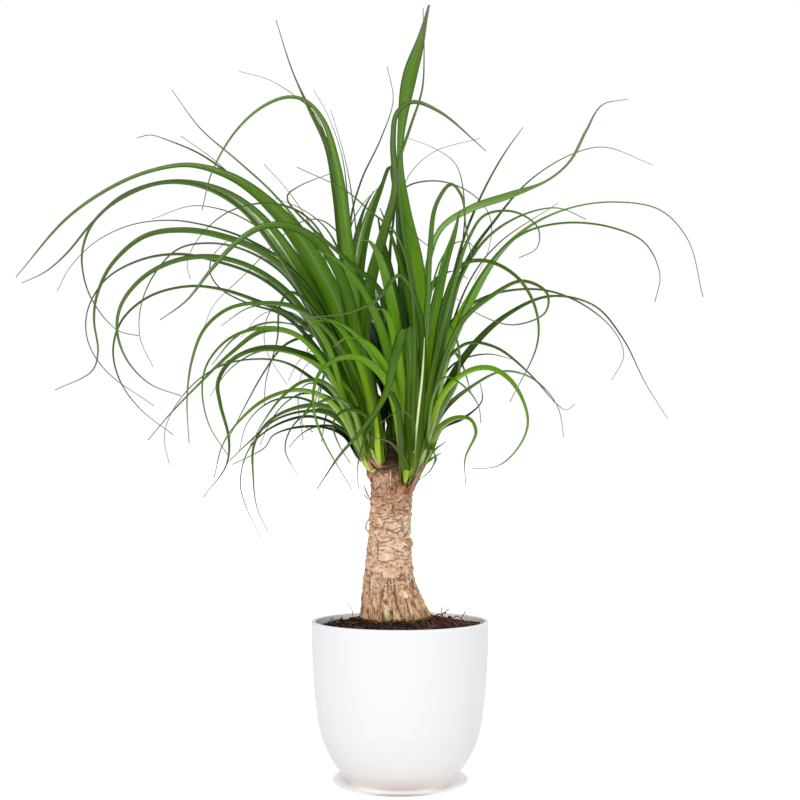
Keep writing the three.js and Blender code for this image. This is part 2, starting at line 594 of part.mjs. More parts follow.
const rightHead = {
  name: "right_head",
  base: [21, 3, 309],
  lean: [5, 1, 44],
  radius: 9,
  height: 58,
  leaves: [
    seen(11, -60, [22, 321], [33, 378], [47, 433], [70, 483], [98, 528], [130, 557], [170, 575],
      [215, 581], [260, 573], [288, 543], [303, 486]),
    seen(10, 110, [16, 321], [20, 403], [24, 493], [40, 553], [70, 574], [110, 588], [148, 603],
      [170, 622], [186, 652], [202, 678], [228, 684]),
    seen(5, 170, [22, 321], [40, 423], [65, 518], [95, 563], [130, 603], [172, 629], [205, 636],
      [253, 618]),
    seen(5, -120, [22, 321], [38, 413], [60, 503], [88, 546], [125, 569], [158, 575], [186, 564]),
    seen(3, -180, [24, 321], [45, 423], [85, 513], [120, 548], [162, 560], [210, 556], [245, 540],
      [260, 508], [255, 481]),
    seen(2.5, 140, [24, 321], [45, 433], [70, 503], [100, 541], [158, 580]),
    seen(6, -200, [20, 321], [35, 423], [55, 503], [68, 543], [85, 568], [115, 571], [138, 555],
      [137, 535], [119, 525]),
    seen(6, -150, [22, 321], [32, 403], [45, 483], [62, 518], [87, 522], [118, 505], [136, 473],
      [137, 438], [110, 381]),
    seen(6, -210, [24, 321], [40, 408], [62, 461], [90, 486], [122, 502], [147, 490], [145, 470],
      [112, 458], [80, 468], [55, 485]),
    seen(5, 60, [22, 321], [32, 393], [50, 458], [85, 486], [135, 494], [175, 483], [212, 455],
      [224, 428], [212, 403]),
    seen(6, 120, [26, 321], [43, 388], [68, 431], [105, 467], [150, 487], [195, 477], [224, 443],
      [245, 401], [268, 364]),
    seen(4, 200, [24, 323], [32, 383], [55, 420], [88, 429], [112, 424]),
    seen(5, -100, [24, 323], [35, 403], [65, 439], [95, 436], [130, 409], [155, 381], [166, 373],
      [175, 379]),
    seen(6, -190, [24, 321], [40, 383], [65, 410], [90, 415], [113, 400], [128, 363], [120, 338],
      [98, 317], [72, 314]),
    seen(4, 150, [26, 321], [40, 367], [75, 399], [105, 412], [135, 403], [158, 376], [164, 346]),
    seen(2.5, -160, [24, 323], [32, 383], [45, 406], [65, 396], [79, 376], [81, 360]),
    seen(6, 180, [26, 323], [40, 354], [65, 366], [82, 383], [80, 400]),
    seen(5, -130, [26, 323], [38, 353], [55, 365], [70, 364], [76, 351], [65, 323], [66, 297]),
    seen(7, -170, [24, 323], [40, 371], [57, 403], [58, 438], [43, 476]),
    seen(3, -60, [24, 321], [32, 337], [36, 326], [30, 312], [15, 299]),
    seen(5, 90, [20, 321], [38, 433], [60, 533], [80, 585], [103, 628], [123, 656]),
    seen(3, 200, [20, 321], [40, 443], [62, 533], [64, 588], [55, 620], [30, 637], [-3, 648]),
    seen(5, -140, [18, 321], [25, 453], [40, 521], [55, 540], [70, 540], [76, 528]),
    seen(3, -20, [24, 321], [35, 334], [45, 341]),
    seen(3, 20, [22, 317], [32, 325], [41, 330]),
    seen(10, 40, [22, 321], [26, 403], [32, 453], [38, 488], [46, 523], [54, 548], [60, 573]),
    arching(84, 340, 130, 11),
    arching(74, 300, 120, 10),
    arching(96, 240, 150, 9),
  ],
};

const backHead = {
  name: "back_head",
  base: [-4, 23, 312],
  lean: [0, 7, 44],
  radius: 9.5,
  height: 60,
  leaves: [
    seen(5, 180, [-15, 333], [-12, 453], [-8, 553], [3, 594], [40, 602], [75, 587], [91, 563],
      [88, 531], [75, 503]),
    seen(2, 210, [-8, 333], [-2, 483], [0, 573], [7, 605], [33, 631], [80, 645]),
    seen(9, 40, [-8, 333], [0, 403], [0, 463], [-6, 493], [-12, 520], [-18, 545], [-22, 565]),
    seen(9, 60, [-6, 333], [4, 403], [6, 463], [3, 503], [0, 543], [-2, 583], [-3, 613]),
    arching(90, 430, 125, 14),
    arching(112, 400, 130, 13),
    arching(68, 410, 128, 13),
    arching(135, 380, 140, 12),
    arching(47, 370, 140, 12),
    arching(100, 350, 150, 12),
    arching(78, 340, 155, 11),
    arching(122, 330, 155, 11),
    arching(62, 320, 140, 11),
    arching(150, 300, 150, 10),
    arching(90, 280, 165, 10),
    arching(108, 270, 160, 10),
    arching(70, 270, 160, 10),
    arching(130, 240, 165, 9),
    arching(86, 230, 165, 9),
    arching(95, 380, 95, 12),
    arching(75, 390, 85, 12),
    arching(115, 360, 90, 12),
    arching(60, 330, 95, 11),
    arching(140, 330, 95, 11),
  ],
};

const heads = [leftHead, frontHead, rightHead, backHead];

function headShape(head, trunk) {
  let solid = solidOf(headCore(head));
  for (const leaf of head.leaves) solid = solid.add(solidOf(bladeShape(leaf)));
  // What the fused blades shut in is filled: only the outermost skin is kept.
  const bodies = solid.subtract(trunk).decompose();
  return geometryOf(bodies.reduce((kept, body) => (body.volume() > kept.volume() ? body : kept)));
}

const palm = new THREE.Group();
palm.add(named("pot", potShape(), POT_COLOUR, 0.55));
palm.add(named("soil", soilShape(), SOIL_COLOUR, 1));
palm.add(named("trunk", trunkShape(), BARK_COLOUR, 0.85));
placeLeaves(heads);
const grownTrunk = solidOf(trunkShape(SEAT_GAP));
for (const head of heads) palm.add(named(head.name, headShape(head, grownTrunk), LEAF_COLOUR, 0.4));

export default palm;
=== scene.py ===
import math

import bpy
import numpy as np
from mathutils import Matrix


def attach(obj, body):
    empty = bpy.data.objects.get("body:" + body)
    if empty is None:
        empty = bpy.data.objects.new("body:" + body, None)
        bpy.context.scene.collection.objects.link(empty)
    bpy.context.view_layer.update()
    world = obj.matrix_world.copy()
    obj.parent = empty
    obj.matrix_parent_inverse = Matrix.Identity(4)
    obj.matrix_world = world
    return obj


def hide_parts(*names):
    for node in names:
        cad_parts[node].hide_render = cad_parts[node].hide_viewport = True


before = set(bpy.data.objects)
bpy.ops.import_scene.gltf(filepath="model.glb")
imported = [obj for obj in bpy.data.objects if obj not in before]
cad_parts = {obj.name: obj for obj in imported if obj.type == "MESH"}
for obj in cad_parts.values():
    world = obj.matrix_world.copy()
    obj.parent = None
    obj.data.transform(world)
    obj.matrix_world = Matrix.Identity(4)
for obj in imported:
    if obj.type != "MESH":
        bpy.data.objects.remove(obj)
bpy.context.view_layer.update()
MM = 0.001

# Pot
POT_SIDES = 192
FOOT_RADIUS = 50
FOOT_HEIGHT = 2.6
FOOT_EDGE = 0.8
POT_HEIGHT = 163
POT_FLOOR = 7
RIM_RADIUS = 88.5
RIM_ROUND = 1.5
WALL = 4
BOWL_STEP = 3
# Rows of the rim, from its top inward, that count as the pot's inside.
INNER_RIM_ROWS = 6
RIM_START = POT_HEIGHT - RIM_ROUND
# Radius and height of points on the bowl, outside and inside.
BOWL_OUTSIDE = [(51, 4), (65.3, 20.3), (78.4, 47), (84.5, 82), (87.6, 125), (RIM_RADIUS, RIM_START)]
BOWL_INSIDE = [(RIM_RADIUS - WALL, RIM_START), (83.6, 125), (80.5, 82), (74.2, 49), (61, 23), (47, POT_FLOOR)]

# Soil
SEAT_GAP = 0.3
SOIL_AT_WALL = 156.5
SOIL_AT_TRUNK = 165
SOIL_RADIUS = RIM_RADIUS - WALL - 0.5
MOUND_WIDTH = 50
SOIL_SIDES = 256
CLUMP_HEIGHT = 2.6
# Height given to the rings of the soil's top until soil_level sets it.
TOP_MARK = 300
SOIL_SEED = 909
CRUMB_COUNT = 900
FIBRE_COUNT = 150
FIBRE_STEPS = 7
TUFT_COUNT = 260
TUFT_STEPS = 4

# Trunk
TRUNK_SIDES = 256
ROW_HEIGHT = 0.62
RING_SPACING = 8.2
RIDGE_COUNT = 7
RIDGE_HEIGHT = 1.3
RIDGE_FADE = 30
# The trunk's bottom in the soil, the height where its relief is full, and where it leaves the soil.
TRUNK_BOTTOM = 120
FULL_RELIEF = 146
AT_SOIL = 163
# Heights over which the fibrous flare ends, the rings begin, and the dark top begins.
FLARE_END = (168, 205)
RINGS_BEGIN = (188, 215)
TOP_BEGINS = (288, 312)
# Radius and height of the bark, from the foot in the soil up to the collar.
BARK = [
    (30, 120), (35, 133), (37.5, 152), (34.8, 166.6), (31.1, 180.6), (27.2, 194.6), (24.8, 208.7),
    (23.2, 222.7), (21.8, 236.7), (20.7, 250.8), (20.5, 292.8), (22.6, 302.7), (25, 310), (26, 317),
]
# The bark's shoulder, the cut stub that stands on it, and the stub's hollowed top.
SHOULDER = [(24.6, 308.5), (22.6, 312), (17.5, 316.5), (12.5, 321.5), (10, 327)]
STUB = [(8.8, 333), (8.5, 343.5)]
STUB_TOP = [(8.1, 344.1), (7, 343.6), (4, 342.8), (1.5, 342.6)]
# How far the trunk's middle lies from the pot's axis, at each height.
TRUNK_BEND = [
    (120, -3), (152, -3), (166.6, -5), (180.6, -7.6), (194.6, -10.4), (208.7, -11.4),
    (236.7, -10.9), (264.8, -9.7), (292.8, -8.2), (302.7, -6.1), (317, -5.2), (344, -5.5),
]
BARK_FIELDS = ("dark", "pale", "red", "moss", "stub")
FLAKE_SEED = 305
FLAKE_STEPS = 6
COLLAR_SEED = 511
COLLAR_SIDES = 80
COLLAR_STRIPS = 13

# Leaves. Their points are given as they show from a point before the pot, this far off and this high.
SEEN_FROM = 1500
SEEN_HEIGHT = 331
SLIMMEST = 6
WIDTH_GAIN = 0.6
MOST_TWIST = math.radians(30)
RISE = 84
ARCH_STEPS = 8
ROOT_HEIGHT = 0.15
ROOT_SPREAD = 5
BLADE_STEP = 4.6
BLADE_COLUMNS = 7
TIP_WIDTH = 0.85
BLADE_THICK = 0.7
CUP_SHARE = 0.15
MOST_TURN = 0.2
SHEATH_STEPS = 18
PLACING_SEED = 1964
HEAD_SEED = 77
# Share of its length that a blade with a late narrowing counts as, so that its tip stays green.
LATE_SHARE = 0.9

# Share of a blade's full width, at shares of its length: as most narrow, as arching ones do, and as broad
# ones do that keep their width.
NARROWING = [(0, 0.35), (0.06, 0.98), (0.14, 1.12), (0.24, 1.1), (0.36, 0.92), (0.48, 0.7), (0.62, 0.5),
             (0.8, 0.29), (0.93, 0.13), (1, 0.04)]
ARCH_NARROWING = [(0, 0.35), (0.07, 1), (0.4, 1), (0.65, 0.7), (0.85, 0.35), (1, 0.05)]
LATE_NARROWING = [(0, 0.4), (0.1, 1.15), (0.6, 1.15), (0.8, 0.8), (0.92, 0.4), (1, 0.08)]

# Keeping the leaves clear of one another, by the rule that placed the solids' blades.
ROOT_SHARE = 0.22
DEPTH_STEP = 8
TURN_STEP = 3
PLACES_TRIED = 31
CHECKED_STEPS = 24
LEAST_ROOM = 1.2
ROOM_SHARE = 0.33
SAME_HEAD_SHARE = 0.4

# Camera: level with the crown of the trunk, as the photograph was taken, and framed a little upward.
CAMERA_PLACE = (0, -1.5, 0.331)
CAMERA_SHIFT = 0.065
CAMERA_LENS = 67.5
SENSOR_WIDTH = 36

# Soft lights: strength, spread, tilt back from straight down, and turn round the Z axis, in degrees.
SUNS = {
    "key_light": (1.75, 14, 52, -8),
    "left_light": (0.3, 40, 55, -65),
    "top_light": (2.6, 80, 6, 0),
    "right_light": (0.25, 50, 60, 80),
    "rim_light": (0.7, 16, -58, -35),
}
SKY_LIGHT = 0.1
SKY_SHOWN = 1.0

# Floor: half its side, and the painted contact shadow under the pot, a grey round, in metres: how far back
# its middle lies and its half widths.
FLOOR_REACH = 40
SHADOW_SPOT_BACK = 0.02
SHADOW_SPOT_HALVES = (0.0685, 0.0805)


def polar(radius, angle, height):
    """Points round the Z axis."""
    return np.stack(np.broadcast_arrays(radius * np.cos(angle), radius * np.sin(angle), height), -1)


def flat_points(x, y):
    return np.stack([x, y, 0 * x], -1)


def tapered(share, width, least):
    """Widths of a strip that narrows at both ends, most of all at its tip."""
    return np.maximum(least, width * np.sin(math.pi * (0.1 + 0.85 * share)) ** 0.6)


def random_draws(seed):
    """Seeded random draws from 0 to 1, as the solids' leaves had."""
    state = seed
    while True:
        state = (state * 16807) % 2147483647
        yield state / 2147483647


def unit(vectors):
    return vectors / np.maximum(np.linalg.norm(vectors, axis=-1, keepdims=True), 1e-9)


def smoothstep(low, high, value):
    share = np.clip((value - low) / (high - low), 0, 1)
    return share * share * (3 - 2 * share)


def value_at(places, value):
    """The value at a height, between the listed (height, value) points."""
    heights, values = zip(*places)
    return np.interp(value, heights, values)


def lattice(cells, seed):
    """A fixed value from 0 to 1 for each whole-number point."""
    x, y, z = (cells[..., i] for i in range(3))
    mixed = (x * 374761393 + y * 668265263 + z * 1440662683 + seed * 69069069) & 0xFFFFFFFF
    mixed = ((mixed ^ (mixed >> 13)) * 1274126177) & 0xFFFFFFFF
    return ((mixed ^ (mixed >> 16)) & 0xFFFFFF) / 0xFFFFFF


def noise(points, size, seed):
    """Smooth noise from 0 to 1 whose bumps are about size apart. size may be three sizes."""
    scaled = points / np.asarray(size, float)
    low = np.floor(scaled).astype(np.int64)
    share = scaled - low
    share = share * share * (3 - 2 * share)
    total = np.zeros(points.shape[:-1])
    for corner in np.ndindex(2, 2, 2):
        weight = np.prod(np.where(corner, share, 1 - share), axis=-1)
        total += weight * lattice(low + np.array(corner), seed)
    return total


def rough(points, size, seed, octaves=3):
    """Several sizes of noise laid over one another, from -1 to 1."""
    total = np.zeros(points.shape[:-1])
    for octave in range(octaves):
        total += (2 * noise(points, np.asarray(size) / 2**octave, seed + octave) - 1) / 2**octave
    return total / 1.6


def curve_points(points, shares):
    """Points on the centripetal Catmull-Rom curve through the given points, at shares of its spans."""
    given = np.asarray(points, float)
    spans = len(given) - 1
    around = np.vstack([2 * given[0] - given[1], given, 2 * given[-1] - given[-2]])
    place = np.clip(shares, 0, 1) * spans
    first = np.minimum(place.astype(int), spans - 1)
    w = (place - first)[:, None]
    x0, x1, x2, x3 = (around[first + i] for i in range(4))
    gaps = [((b - a) ** 2).sum(1, keepdims=True) ** 0.25 for a, b in ((x0, x1), (x1, x2), (x2, x3))]
    middle = np.where(gaps[1] < 1e-4, 1, gaps[1])
    before, after = (np.where(gap < 1e-4, middle, gap) for gap in (gaps[0], gaps[2]))
    t1 = ((x1 - x0) / before - (x2 - x0) / (before + middle) + (x2 - x1) / middle) * middle
    t2 = ((x2 - x1) / middle - (x3 - x1) / (middle + after) + (x3 - x2) / after) * middle
    return x1 + w * (t1 + w * (3 * (x2 - x1) - 2 * t1 - t2 + w * (2 * (x1 - x2) + t1 + t2)))


def even_points(points, step, fewest=6):
    """Points every step or so along the curve, with each one's share of the length, and the whole length."""
    fine = curve_points(points, np.linspace(0, 1, 50 * len(points)))
    run = np.concatenate([[0], np.cumsum(np.linalg.norm(np.diff(fine, axis=0), axis=1))])
    shares = np.linspace(0, 1, max(fewest, round(run[-1] / step)) + 1)
    places = np.stack([np.interp(shares * run[-1], run, fine[:, i]) for i in range(3)], 1)
    return places, shares, run[-1]


# Meshes
def skin(rows, columns):
    """Faces of a closed skin: rings of points from end to end, then one point in the middle of each end."""
    ring = np.arange(columns)
    after = (ring + 1) % columns
    start = columns * np.arange(rows - 1)[:, None]
    sides = np.stack([start + ring, start + after, start + columns + after, start + columns + ring], 2)
    top = (rows - 1) * columns
    ends = [(rows * columns, b, a) for a, b in zip(ring.tolist(), after.tolist())]
    ends += [(rows * columns + 1, top + a, top + b) for a, b in zip(ring.tolist(), after.tolist())]
    return sides.reshape(-1, 4).tolist() + ends


def volume(points, faces):
    corners = np.array([face[:3] for face in faces] + [(f[0], f[2], f[3]) for f in faces if len(f) == 4])
    a, b, c = (points[corners[:, i]] for i in range(3))
    return (a * np.cross(b, c)).sum() / 6


class Shape:
    """Gathers closed bodies for one mesh, each point with a number for every field that a material reads.
    Points of one crisp line, such as a leaf's margin, share a line number above 0."""

    def __init__(self, *fields):
        self.points = []
        self.faces = []
        self.lines = []
        self.count = 0
        self.fields = {name: [] for name in fields}

    def add(self, points, faces, lines=0, **fields):
        if volume(points, faces) < 0:
            faces = [face[::-1] for face in faces]
        self.points.append(points)
        self.lines.append(np.broadcast_to(lines, len(points)))
        self.faces += [tuple(at + self.count for at in face) for face in faces]
        self.count += len(points)
        for name, values in self.fields.items():
            values.append(np.broadcast_to(fields.get(name, 0.0), len(points)))

    def add_rings(self, points, **fields):
        self.add(capped(points), skin(*points.shape[:2]), **fields)

    def piece(self, name, material, slot, *replaced):
        mesh = bpy.data.meshes.new(name)
        mesh.from_pydata((np.concatenate(self.points) * MM).tolist(), [], self.faces)
        mesh.polygons.foreach_set("use_smooth", [True] * len(mesh.polygons))
        ends = np.empty(2 * len(mesh.edges), int)
        mesh.edges.foreach_get("vertices", ends)
        line = np.concatenate(self.lines)[ends.reshape(-1, 2)]
        crisp = mesh.attributes.new("sharp_edge", "BOOLEAN", "EDGE")
        crisp.data.foreach_set("value", (line[:, 0] > 0) & (line[:, 0] == line[:, 1]))
        for field, values in self.fields.items():
            layer = mesh.attributes.new(field, "FLOAT", "POINT")
            layer.data.foreach_set("value", np.concatenate(values).astype(np.float32))
        mesh.materials.append(material)
        made = bpy.data.objects.new(name, mesh)
        bpy.context.scene.collection.objects.link(made)
        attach(made, "root")
        if replaced:
            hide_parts(*replaced)


def rings(radii, heights, sides):
    """Points of rings round the Z axis, one ring for each radius and height."""
    angles = np.linspace(0, 2 * math.pi, sides, endpoint=False)
    r, z = (np.asarray(values, float)[:, None] for values in (radii, heights))
    return polar(r, angles, z)


def capped(points):
    """The points of the rings in one list, with the middle of the first and last ring at its end."""
    flat = points.reshape(-1, 3)
    return np.vstack([flat, points[0].mean(0), points[-1].mean(0)])


def ended(values, first=0, last=None):
    """One value for each point that capped gives: the rings' own, then those of the two middles."""
    return np.append(values, [first, first if last is None else last])


def ribbon(middle, upper, widths, thick, cup, columns=BLADE_COLUMNS):
    """Rings of points round a thin strip that is folded along its upper side, where each one lies across it,
    from -1 to 1, 1 on its under side, and its crisp line: a margin or the fold."""
    along = unit(np.gradient(middle, axis=0))
    across = unit(np.cross(along, upper))
    upper = np.cross(across, along)
    place = np.linspace(-1, 1, columns)
    under = place[-2:0:-1]
    width, depth, cupped = (np.broadcast_to(v, len(middle))[:, None, None] for v in (widths, thick, cup))

    def side(places, lower):
        sunk = cupped * width * (1 - abs(places) ** 1.3)[:, None] + depth * lower[:, None]
        return middle[:, None] + across[:, None] * places[:, None] * width / 2 - upper[:, None] * sunk

    points = np.concatenate([side(place, 0 * place), side(under, 1 - 0.75 * abs(under) ** 3)], 1)
    where = np.concatenate([place, under])
    beneath = np.concatenate([0 * place, 1 + 0 * under])
    beneath[[0, columns - 1]] = 0.5
    line = np.zeros(len(where), int)
    line[[0, columns - 1, columns // 2]] = (1, 2, 3)
    return points, *(np.tile(values, len(middle)) for values in (where, beneath, line))


def add_strip(shape, middle, upper, widths, thick=0.35, cup=0.05, columns=3, **fields):
    """A plain thin strip, such as a flake of bark or a fibre, with the same fields all over."""
    shape.add_rings(ribbon(middle, upper, widths, thick, cup, columns)[0], **fields)


def smooth_outline(points, step):
    """(radius, height) points every step or so along the curve through the given ones."""
    return [(r, z) for r, _, z in even_points([(r, 0, z) for r, z in points], step)[0]]


# Leaves
def root_of(head):
    return np.array(head["lean"], float) * ROOT_HEIGHT + head["base"]


def seen(looks, depth, *shown, full=None, shade=None):
    """A leaf given by the width and the (x, z) points that it shows from the front, and by how far back its
    tip lies. A blade that looks narrow is wider than it looks and turned away from the front.
    full gives (share of length, share of width) points for a blade that narrows in its own way, and shade
    how dark it is, from 0 to 1. By default it is darker the narrower the blade looks, and, as painted shade,
    the further back its tip lies."""
    width = SLIMMEST + WIDTH_GAIN * looks
    away = math.acos(min(1, looks / width))
    side = -1 if shown[-1][0] > shown[0][0] else 1
    run = np.cumsum([0] + [math.dist(a, b) for a, b in zip(shown, shown[1:])])
    shares = run / run[-1]

    def middles(head, tries):
        reach = depth + DEPTH_STEP * tries
        start = head["base"][1] + max(-ROOT_SPREAD, min(ROOT_SPREAD, reach / 30))
        back = start + reach * shares * shares * (3 - 2 * shares)
        scale = 1 + back / SEEN_FROM
        x, z = np.array(shown, float).T
        points = np.stack([x * scale, back, SEEN_HEIGHT + (z - SEEN_HEIGHT) * scale], 1)
        return np.vstack([root_of(head), points])

    def upper_sides(share, along, twist):
        turn = (away + twist * (share - 0.4))[:, None]
        front = unit(np.array([0, -1, 0]) + along * along[:, 1:2])
        sideways = np.cross(along, front)
        return front * np.cos(turn) * (-1 if depth < 0 else 1) + sideways * np.sin(turn) * side

    # By default: darker for a blade that looks narrow, and painted shade that darkens it the further back its
    # tip lies.
    if shade is None:
        shade = 0.34 + depth / 900 + 0.28 * (1 - looks / 14)
    return {"width": width, "middles": middles, "upper_sides": upper_sides, "shade": shade, "full": full}


def arching(azimuth, length, bend, width):
    """A leaf that arches outward at an azimuth, given by its length and how far it bends over, in degrees."""

    def middles(head, tries):
        outward = math.radians(azimuth + TURN_STEP * tries)
        rise = np.radians(RISE - bend * ((np.arange(ARCH_STEPS) + 0.5) / ARCH_STEPS) ** 1.15)
        level = np.cos(rise)
        steps = np.stack([level * math.cos(outward), level * math.sin(outward), np.sin(rise)], 1)
        walked = np.cumsum(np.vstack([np.zeros(3), steps * length / ARCH_STEPS]), axis=0)
        return root_of(head) + walked

    def upper_sides(share, along, twist):
        turn = math.radians(azimuth) + twist * share
        across = np.stack([-np.sin(turn), np.cos(turn), 0 * turn], 1)
        return unit(np.cross(along, across))

    # Painted shade: an arching leaf is darker the more it leans toward the back.
    shade = 0.45 + 0.4 * math.sin(math.radians(azimuth))
    full = ARCH_NARROWING
    return {"width": width, "middles": middles, "upper_sides": upper_sides, "shade": shade, "full": full}
